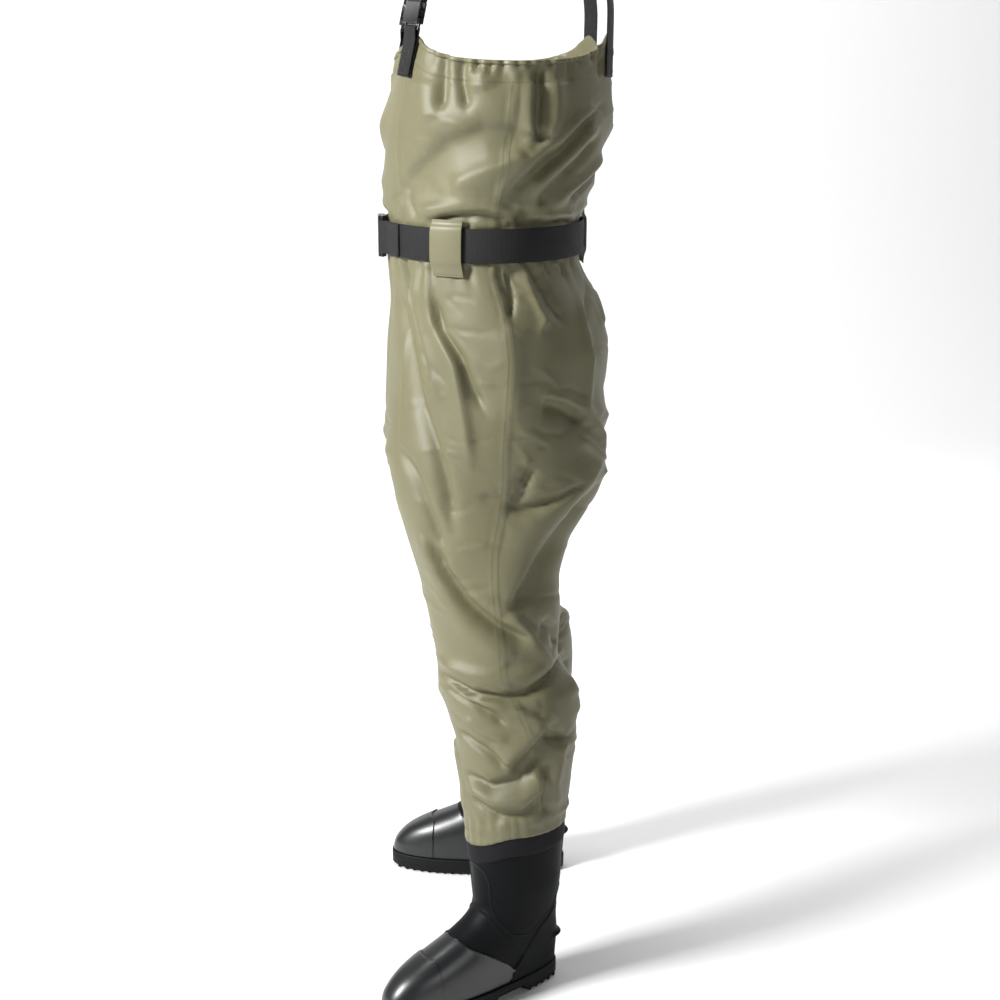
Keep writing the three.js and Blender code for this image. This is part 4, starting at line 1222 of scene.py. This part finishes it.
class WADERS_OT_seams(Operator):
    """Runs twin rows of stitches down the side seams, and one row round the hem"""

    bl_idname = "waders.seams"
    bl_label = "Seam stitches"

    def execute(self, context):
        m = materials()
        for side in SIDES:
            grid = HALVES[side]
            rows, columns = grid.shape[:2]
            mid = (columns - 1) // 2
            normal = self.normals(grid) * SIGN[side]
            lines = []
            span = slice(7, rows - 4)
            for step in (-1, 1):
                a, b = grid[span, mid], grid[span, mid + step]
                across = unit(b - a)
                place = a + across * 0.0042 + normal[span, mid] * 0.0006
                belt = np.abs(place[:, 2] - BELT_Z * MM) < 0.034
                lines += self.runs(place, ~belt)
            knee = leg_x(0.55) * SIGN[side] * MM + MID_X
            blend = (f"{side}_shin", (knee, BASE_Y, 0.53), (knee, BASE_Y, 0.41))
            name = f"{side}_side_seam_stitches"
            stitches(name, lines, 0.0036, m["thread"], None, blend=blend)
        ring = hem_ring(7)
        place = ring + ring_outwards(ring) * 0.0006
        lines = [np.concatenate([place, place[:1]])]
        stitches("hem_stitches", lines, 0.0036, m["thread"], "garment")
        return {"FINISHED"}

    @staticmethod
    def normals(grid):
        down = np.gradient(grid, axis=0)
        across = np.gradient(grid, axis=1)
        return unit(np.cross(down, across))

    @staticmethod
    def runs(points, keep):
        """The stretches of a line whose points are kept."""
        found, current = [], []
        for p, k in zip(points, keep):
            if k:
                current.append(p)
            elif current:
                found.append(np.array(current))
                current = []
        if current:
            found.append(np.array(current))
        return [r for r in found if len(r) > 2]


# ---- shoulder straps ----
def strap_line(facing):
    """Where a strap leaves the hem: its start, and the ways along, across and outwards."""
    angle = facing * STRAP_ANGLE
    low, high = sharp_point(1310, angle), sharp_point(1345, angle)
    along = unit(high - low)
    ahead = sharp_point(1310, facing * (STRAP_ANGLE - 0.01)) - low
    across = unit(ahead - along * (ahead @ along))
    outward = np.cross(across, along) * -facing
    return low, along, across, outward


def sharp_point(z, angle):
    """A point of the unfolded garment on the level cuts themselves, without their rounding."""
    cx, cy, rx, ry = (np.interp(z, SECTIONS[:, 0], SECTIONS[:, k]) for k in (1, 2, 3, 4))
    return np.array([cx + rx * math.cos(angle), cy + ry * math.sin(angle), z])


STRAP_BUCKLE_THICK = 10


def strap_stations():
    """Stations of one strap's front tab and of its webbing, on the wearer's left."""
    socket_bar, plug_bar = buckle_bars(STRAP_BUCKLE_THICK)
    mid_plane = GAP + STRAP_THICK + TURN_RADIUS
    bar_at = 42
    plug_at = bar_at - socket_bar + plug_bar
    inner, closed = mid_plane - TURN_RADIUS, mid_plane - TURN_RADIUS + 1.6
    front, back = strap_line(-1), strap_line(1)

    def on(line, s, lift):
        return line[0] + line[1] * s + line[3] * lift

    def station(line, s, lift, inwards):
        return on(line, s, lift), line[2], -line[3] if inwards else line[3]

    tab = [station(front, s, inner, True) for s in (-20, 0, 20, bar_at - 8)]
    tab += bar_turn(on(front, bar_at, mid_plane), front[3], front[1], front[2])
    tab += [station(front, s, closed, False) for s in (bar_at - 14, 14, 0, -20)]
    start, end = on(front, plug_at + 56, inner), on(back, 58, inner)
    pulls = (start, start + front[1] * 85, end + back[1] * 170, end)
    arch = []
    for t in np.linspace(0, 1, 60):
        cubic = ((1 - t) ** 3, 3 * t * (1 - t) ** 2, 3 * t * t * (1 - t), t**3)
        slope = ((1 - t) ** 2, 2 * t * (1 - t), t * t)
        place = sum(c * p for c, p in zip(cubic, pulls))
        tangent = sum(c * (b - a) for c, a, b in zip(slope, pulls[:-1], pulls[1:]))
        tangent = unit(tangent)
        across = front[2] * (1 - smooth(t)) + back[2] * smooth(t)
        across = unit(across - tangent * (across @ tangent))
        arch.append((place, across, np.cross(tangent, across)))
    strap = [station(front, plug_at + s, closed, False) for s in (54, 40, 25, 10)]
    strap += bar_turn(on(front, plug_at, mid_plane), front[3], -front[1], front[2])[::-1]
    strap += [station(front, plug_at + s, inner, True) for s in (10, 25, 40)]
    strap += arch
    strap += [station(back, s, inner, True) for s in (40, 20, 0, -20)]
    return tab, strap, front, back


def mirrored(stations):
    """The same stations on the wearer's other side."""
    flip = np.array([-1.0, 1, 1])
    return [(at * flip, across * flip, out * flip) for at, across, out in stations]


class WADERS_OT_straps(Operator):
    """Makes both shoulder straps with their tabs, buckles, sliders and box stitches"""

    bl_idname = "waders.straps"
    bl_label = "Shoulder straps"

    def execute(self, context):
        m = materials()
        tab, strap, front, back = strap_stations()
        for side in SIDES:
            flip = mirrored if side == "right" else list
            prefix = f"{side}_strap"
            piece = ribbon(f"{prefix}_tab_web", flip(tab), STRAP_WIDTH, STRAP_THICK)
            finish_piece(piece, m["webbing"], "garment", (f"{prefix}_front_tab",))
            piece = ribbon(f"{prefix}_web", flip(strap), STRAP_WIDTH, STRAP_THICK)
            finish_piece(piece, m["webbing"], "garment", (f"{prefix}_webbing",))
            for node in ("buckle_socket", "buckle_plug"):
                softened(f"{prefix}_{node}", "garment", 0.0011, m["plastic"])
            for arm in ("inner", "outer"):
                softened(f"{prefix}_buckle_{arm}_arm", f"{prefix}_{arm}_arm", 0.0004, m["plastic"])
            softened(f"{prefix}_adjuster", f"{prefix}_adjuster", 0.0008, m["plastic"])
            lines = self.box_stitch(front, 7.6, -16, 12, side) + self.box_stitch(back, 2.3, -16, 16, side)
            stitches(f"{prefix}_stitches", lines, 0.003, m["dark_thread"], "garment")
        return {"FINISHED"}

    @staticmethod
    def box_stitch(line, lift, low, high, side):
        """A square with a cross in it, sewn through the webbing."""
        half = STRAP_WIDTH / 2 - 4
        corners = [(-half, low), (half, low), (half, high), (-half, high)]
        pairs = [(0, 1), (1, 2), (2, 3), (3, 0), (0, 2), (1, 3)]
        lines = []
        for a, b in pairs:
            steps = np.linspace(0, 1, 12)[:, None]
            flat = np.array(corners[a]) * (1 - steps) + np.array(corners[b]) * steps
            place = line[0] + flat[:, :1] * line[2] + flat[:, 1:] * line[1] + line[3] * lift
            place[:, 0] *= SIGN[side]
            lines.append(to_world(place))
        return lines


# ---- boots ----
# Level cuts through a boot: height, front and back along the foot from the ankle's axis,
# half-width at the ball of the foot and at the heel.
BOOT_CUTS = np.array(
    [
        (CUFF_Z + 13.4, -71, 71, 58.5, 58.5),
        (CUFF_Z - 27.6, -71, 72, 57, 58),
        (165, -65, 69, 51, 53),
        (140, -63, 66, 46, 48),
        (118, -84, 64, 40, 44),
        (100, -122, 64, 38, 42),
        (84, -160, 66, 41, 40),
        (68, -190, 67, 46, 38),
        (50, -210, 66, 49, 36),
        (36, -217, 65, 50, 36),
        (26, -217, 64, 49, 35),
    ][::-1],
    dtype=float,
)
SOLE_TOP_Z = 26
SPUR_Z = 68  # height of the kick spur on the heel
SPUR_REACH = 7.0
BEAD_HEIGHT = 1.5
BEAD_WIDTH = 1.15
CAP_EDGE_Y = -152.0  # how far back the toe cap reaches
BOOT_TOP_Z = CUFF_Z + 13.4

# Lines of the boot's raised panels, as paths of (along the foot, height) on its sides.
SHAFT_PANEL = [(-69, 209), (-64, 202), (-59, 185), (-56, 153), (-51, 127), (-30, 103), (-6, 95)]
SHAFT_PANEL += [(14, 107), (40, 124), (57, 154)]
ANKLE_TOP = [(-66, 139), (-62, 136), (-56, 120), (-36, 91), (-7, 62)]
ANKLE_FRONT = [(-108, 106), (-97, 96), (-70, 81), (-41, 59), (-25, 43), (-16, 27)]
COUNTER_FRONT = [(46, 122), (39, 113), (19, 100), (1, 78), (-16, 57), (-27, 44), (-34, 27)]


def boot_cut(z):
    return cut_at(BOOT_CUTS, z, 3.5)


def resampled(line, count):
    """The same line with another number of points."""
    t = np.linspace(0, 1, count)
    s = np.linspace(0, 1, len(line))
    return np.stack([np.interp(t, s, line[:, k]) for k in range(3)], -1)


def boot_ring(z, grow, count):
    """A level ring round the boot in the boot's own frame, toe towards -Y."""
    z = np.asarray(z, float)
    front, back, ball, heel = (v[..., None] for v in boot_cut(z))
    a = np.linspace(0, 2 * math.pi, count, endpoint=False)
    share = (1 + np.sin(a)) / 2
    y = (front - grow) * (1 - share) + (back + grow) * share
    half = ball * (1 - smooth(share)) + heel * smooth(share) + grow
    fullness = 0.8 + 0.2 * np.clip((z[..., None] - 80) / 60, 0, 1)
    x = half * np.sign(np.cos(a)) * np.abs(np.cos(a)) ** fullness
    return np.stack([x, y, z[..., None] + 0 * x], -1)


def in_boot(points, side):
    """From the boot's own frame to the world."""
    turn = TOE_OUT[side]
    x, y, z = points[..., 0], points[..., 1], points[..., 2]
    wx = x * math.cos(turn) - y * math.sin(turn)
    wy = x * math.sin(turn) + y * math.cos(turn)
    ankle = ANKLES[side]
    return np.stack([wx * SIGN[side] * MM + ankle.x, wy * MM + ankle.y, z * MM], -1)


def boot_relief(grid):
    """Beads and raised panels of the upper, as a height at each point."""
    flat = np.stack([grid[..., 1], grid[..., 2]], -1)
    relief = np.zeros(grid.shape[:-1])
    for path, step in ((SHAFT_PANEL, 0.8), (ANKLE_TOP, 1.1), (ANKLE_FRONT, -1.1), (COUNTER_FRONT, 0.9)):
        signed, _ = near_path(flat, path)
        edge = np.clip(signed / 1.0, -1, 1)
        relief += step * 0.5 * (edge + 1) * hump(np.abs(signed), 0, 34)
        relief += BEAD_HEIGHT * hump(signed, 0, BEAD_WIDTH)
    ease = np.clip((grid[..., 2] - SOLE_TOP_Z) / 8, 0, 1)
    return relief * smooth(ease)


class WADERS_OT_boots(Operator):
    """Makes the boots: uppers, toe caps, heel counters, bands, soles and insoles"""

    bl_idname = "waders.boots"
    bl_label = "Boots"

    def execute(self, context):
        for side in SIDES:
            self.upper(side)
            self.toe_cap(side)
            self.heel_counter(side)
            self.band(side)
            self.sole(side)
            self.insole(side)
        return {"FINISHED"}

    @staticmethod
    def build(name, grid, side, stands_for, material="gloss", slot="boot_rubber", capped=True):
        """One piece made of rings round a boot, closed at both ends if capped."""
        rows, columns = grid.shape[:2]
        points = in_boot(grid, side).reshape(-1, 3)
        faces = grid_faces(rows, columns, ring=True)
        if capped:
            faces.append(tuple(range(columns)))
            faces.append(tuple(range((rows - 1) * columns, rows * columns))[::-1])
        obj = new_object(f"{side}_{name}", points, faces)
        recalc_outwards(obj)
        return finish_piece(obj, materials()[material], f"{side}_shin", (f"{side}_{stands_for}",))

    @staticmethod
    def overlay(name, grid, side, wall, material, stands_for):
        """One open sheet of rubber on a boot, given a wall."""
        points = in_boot(grid, side).reshape(-1, 3)
        obj = new_object(f"{side}_{name}", points, grid_faces(*grid.shape[:2]))
        recalc_outwards(obj)
        thicken(obj, wall)
        finish_piece(obj, materials()[material], f"{side}_shin", (f"{side}_{stands_for}",))

    def upper(self, side):
        count = 256
        z = np.concatenate([np.linspace(BOOT_TOP_Z, 120, 84), np.linspace(119, 26, 86)])
        outer = boot_ring(z, 0.0, count)
        centre = np.stack([0 * z, (boot_cut(z)[0] + boot_cut(z)[1]) / 2, z], -1)[:, None, :]
        away = unit((outer - centre) * np.array([1, 1, 0]))
        slope = smooth((125 - outer[..., 2]) / 40) * smooth((-outer[..., 1] - 50) / 60)
        lift = np.stack([away[..., 0], away[..., 1], 1.2 * slope], -1)
        outer = outer + unit(lift) * boot_relief(outer)[..., None]
        inner_z = np.linspace(30, BOOT_TOP_Z, 60)
        inner = boot_ring(inner_z, -2.6, count)
        rim = (outer[:1] + inner[-1:]) / 2 + np.array([0, 0, 0.8])
        floor = boot_ring(np.array([26.2]), -14.0, count)
        inner_floor = boot_ring(np.array([29.5]), -14.0, count)
        grid = np.concatenate([inner_floor, inner, rim, outer, floor])
        obj = self.build("boot_upper", grid, side, "boot_shell")
        obj.data.materials.append(materials()["satin"])
        self.paint(obj, side)

    @staticmethod
    def paint(obj, side):
        """Gives the shaft, the ankle overlay and the inside a satin finish; the vamp stays glossy, in a
        lighter colour that is painted sheen.
        """
        turn = TOE_OUT[side]
        ankle = ANKLES[side]
        mesh = obj.data
        centres = np.empty(len(mesh.polygons) * 3)
        mesh.polygons.foreach_get("center", centres)
        centres = centres.reshape(-1, 3)
        x = (centres[:, 0] - ankle.x) / MM * SIGN[side]
        y = (centres[:, 1] - ankle.y) / MM
        local_y = -x * math.sin(turn) + y * math.cos(turn)
        flat = np.stack([local_y, centres[:, 2] / MM], -1)
        front, _ = near_path(flat, ANKLE_FRONT)
        satin = (front > 0) | (flat[:, 1] > 120)
        mesh.polygons.foreach_set("material_index", satin.astype(np.int32))
        mesh.update()

    def toe_cap(self, side):
        count = 96
        z = np.linspace(27, 92, 44)
        whole = boot_ring(z, 1.9, 4 * count)
        half = whole[:, 2 * count :]
        grid = half.copy()
        for r in range(len(z)):
            ring = half[r]
            reach = ring[:, 1].min()
            if reach > CAP_EDGE_Y:
                grid[r] = grid[r - 1]
                continue
            inside = ring[:, 1] <= CAP_EDGE_Y + 6 * abs(ring[:, 0]).max() / 50
            keep = ring[inside]
            grid[r] = resampled(keep, len(ring))
        used = [r for r in range(len(z)) if r == 0 or not np.allclose(grid[r], grid[r - 1])]
        grid = grid[used]
        grid[..., 2] += 1.1 * smooth((grid[..., 2] - 45) / 25)
        # the toe cap takes the glossy rubber, whose lighter colour is painted sheen
        self.overlay("toe_cap_overlay", grid, side, 0.0013, "gloss", "boot_toe_cap")

    def heel_counter(self, side):
        count = 320
        top = COUNTER_FRONT[0][1] - 3
        z = np.linspace(27, top, 64)
        edge = np.array(COUNTER_FRONT, float)[::-1]
        front = np.interp(z, edge[:, 1], edge[:, 0])
        whole = boot_ring(z, 1.7, count)
        rows = []
        for ring, start in zip(whole, front):
            kept = ring[: count // 2 + 1]
            sides = np.concatenate([ring[-count // 4 :], kept, ring[count // 2 + 1 : 3 * count // 4]])
            behind = sides[sides[:, 1] >= start]
            rows.append(resampled(behind, 150))
        part = np.array(rows)
        spur = hump(part[..., 2], SPUR_Z, 3.4) * smooth((part[..., 1] - 44) / 16)
        direction = unit(part * np.array([1, 1, 0]))
        part = part + direction * (SPUR_REACH * spur)[..., None]
        self.overlay("heel_counter_overlay", part, side, 0.0014, "satin", "boot_heel_counter")

    def band(self, side):
        count = 160
        a = np.linspace(0, 2 * math.pi, count, endpoint=False)
        profile = [(-29.6, 0.5), (-28.6, 2.8), (-24.6, 3.4), (-12, 3.5), (-4, 3.6), (-0.4, 3.3)]
        profile += [(0.3, 2.4), (-1.4, 0.7)]
        drop = cuff_rise(a)
        rings = []
        for height, grow in profile:
            ring = boot_ring(np.array([CUFF_Z + height]), grow, count)[0]
            flare = unit(ring * np.array([1, 1, 0]))
            ring = ring + flare * (drop * 0.07)[:, None]
            ring[:, 2] += drop
            rings.append(ring)
        grid = np.array(rings)
        closed = np.concatenate([grid, grid[:1]])
        obj = self.build("boot_band_ring", closed, side, "boot_band", "band", "band_rubber", capped=False)
        subdivide(obj, 1)

    def sole(self, side):
        count = 224
        profile = [(25.6, 0.5), (25.9, 2.2), (25.0, 3.9), (21.5, 4.2), (20.6, 3.5), (19.6, 3.5), (18.7, 4.1)]
        profile += [(12, 4.0), (10.4, 3.3), (9.4, 3.3), (8.4, 3.9), (4.5, 3.7), (3.6, 2.8)]
        rings = []
        cut = np.array([float(SOLE_TOP_Z)])
        for z, grow in profile:
            ring = boot_ring(cut, grow, count)[0]
            arch = smooth((ring[:, 1] + 66) / 12) * smooth((1 - ring[:, 1]) / 12)
            floor = 13.0 * arch
            ring[:, 2] = floor + (z / 26) * (26 - floor)
            rings.append(ring)
        low = rings[-1].copy()
        inset = boot_ring(cut, -8.0, count)[0]
        inset[:, 2] = low[:, 2]
        rings.append(inset)
        top_inset = boot_ring(cut, -8.0, count)[0]
        top_inset[:, 2] = 25.6
        grid = np.concatenate([[top_inset], np.array(rings)])
        self.build("outsole_body", grid, side, "boot_outsole", "sole", "sole_rubber")
        self.lugs(side)

    @staticmethod
    def lugs(side):
        """Ribs of tread across the forefoot and the heel, each a bar laid by geometry nodes."""
        lines = []
        cut = boot_ring(np.array([26.0]), 0.5, 200)[0]
        for y in np.concatenate([np.arange(-206, -66, 13.0), np.arange(4, 60, 13.0)]):
            width = np.abs(cut[np.abs(cut[:, 1] - y) < 3][:, 0]).max()
            x = np.linspace(-width, width, 15)
            bend = 7 * (1 - np.abs(x) / width)
            line = np.stack([x, y - bend, np.full_like(x, 3.4)], -1)
            lines.append(in_boot(line, side))
        stitches(
            f"{side}_tread_lugs", lines, 0.0062, materials()["sole"], f"{side}_shin",
            length=0.0034, radius=0.0034,
        )

    def insole(self, side):
        cut = np.array([float(SOLE_TOP_Z)])
        profile = ((2.9, -5), (4.6, -4), (6.2, -5), (6.4, -9))
        grid = np.concatenate([boot_ring(cut, grow, 96) + np.array([0, 0, z]) for z, grow in profile])
        self.build("insole_pad", grid, side, "boot_insole", "felt", "insole_felt")


# ---- stage ----
# Name, place, what it points at, size in metres and power in watts.
LIGHTS = (
    ("key", (1.3, -3.1, 2.6), (0, 0, 0.8), 0.9, 285),
    ("fill", (3.4, 1.5, 1.8), (0, 0, 0.7), 1.4, 21),
    ("rim", (-1.2, 3.0, 2.4), (0, 0, 0.9), 1.2, 14),
    ("backdrop", (-1.2, 0.0, 5.2), (-4.6, 0, 1.6), 3.0, 300),
)


class WADERS_OT_stage(Operator):
    """Lays the pale floor and sets the soft studio lights and the camera"""

    bl_idname = "waders.stage"
    bl_label = "Stage"

    def execute(self, context):
        scene = context.scene
        self.floor()
        for lamp in LIGHTS:
            self.light(*lamp)
        world = bpy.data.worlds.new("studio")
        world.use_nodes = True
        background = world.node_tree.nodes["Background"]
        background.inputs["Color"].default_value = (0.95, 0.96, 0.98, 1)
        background.inputs["Strength"].default_value = 0.1
        scene.world = world
        azimuth, distance, height, pitch = math.radians(85), 2.4, 1.3, math.radians(14.4)
        camera = bpy.data.cameras.new("camera")
        camera.lens = 60.4
        camera.sensor_width = 36
        obj = linked("camera", camera)
        obj.location = (MID_X + math.sin(azimuth) * distance, BASE_Y - math.cos(azimuth) * distance, height)
        obj.rotation_euler = (math.pi / 2 - pitch, 0, azimuth)
        scene.camera = obj
        scene.view_settings.view_transform = "Standard"
        return {"FINISHED"}

    @staticmethod
    def floor():
        """A pale floor that sweeps up behind the waders, away from the camera."""
        radius, far = 2.2, -3.4
        turns = np.linspace(0, math.pi / 2, 25)
        bend = [(far - radius * math.sin(a), radius - radius * math.cos(a)) for a in turns]
        profile = [(7.0, 0.0), *bend, (far - radius, 6.5)]
        points = [(x, y, z) for x, z in profile for y in (-9.0, 9.0)]
        floor = new_object("floor", points, grid_faces(len(profile), 2, flip=True))
        pale = Shader("pale_floor", (0.8, 0.8, 0.8), 0.9, Specular_IOR_Level=0.1)
        floor.data.materials.append(pale.material)

    @staticmethod
    def light(name, place, target, size, power):
        lamp = bpy.data.lights.new(name, "AREA")
        lamp.size = size
        lamp.energy = power
        obj = linked(name, lamp)
        obj.location = place
        obj.rotation_euler = (Vector(target) - Vector(place)).to_track_quat("-Z", "Y").to_euler()


OPERATORS = (
    WADERS_OT_stage,
    WADERS_OT_garment,
    WADERS_OT_hem,
    WADERS_OT_seams,
    WADERS_OT_belt,
    WADERS_OT_belt_loops,
    WADERS_OT_straps,
    WADERS_OT_boots,
)


class WADERS_PT_panel(Panel):
    """Lists the waders' pieces and their settings"""

    bl_label = "Chest waders"
    bl_space_type = "VIEW_3D"
    bl_region_type = "UI"
    bl_category = "Waders"

    def draw(self, context):
        for group in (context.scene.waders_cloth, context.scene.waders_finish):
            for name in group.__annotations__:
                self.layout.prop(group, name)
        for operator in OPERATORS:
            self.layout.operator(operator.bl_idname)


CLASSES = (WadersCloth, WadersFinish, *OPERATORS, WADERS_PT_panel)


def register():
    for cls in CLASSES:
        bpy.utils.register_class(cls)
    bpy.types.Scene.waders_cloth = PointerProperty(type=WadersCloth)
    bpy.types.Scene.waders_finish = PointerProperty(type=WadersFinish)


def unregister():
    del bpy.types.Scene.waders_finish
    del bpy.types.Scene.waders_cloth
    for cls in reversed(CLASSES):
        bpy.utils.unregister_class(cls)


def main():
    register()
    for operator in OPERATORS:
        group, name = operator.bl_idname.split(".")
        getattr(getattr(bpy.ops, group), name)()


if __name__ == "__main__":
    main()
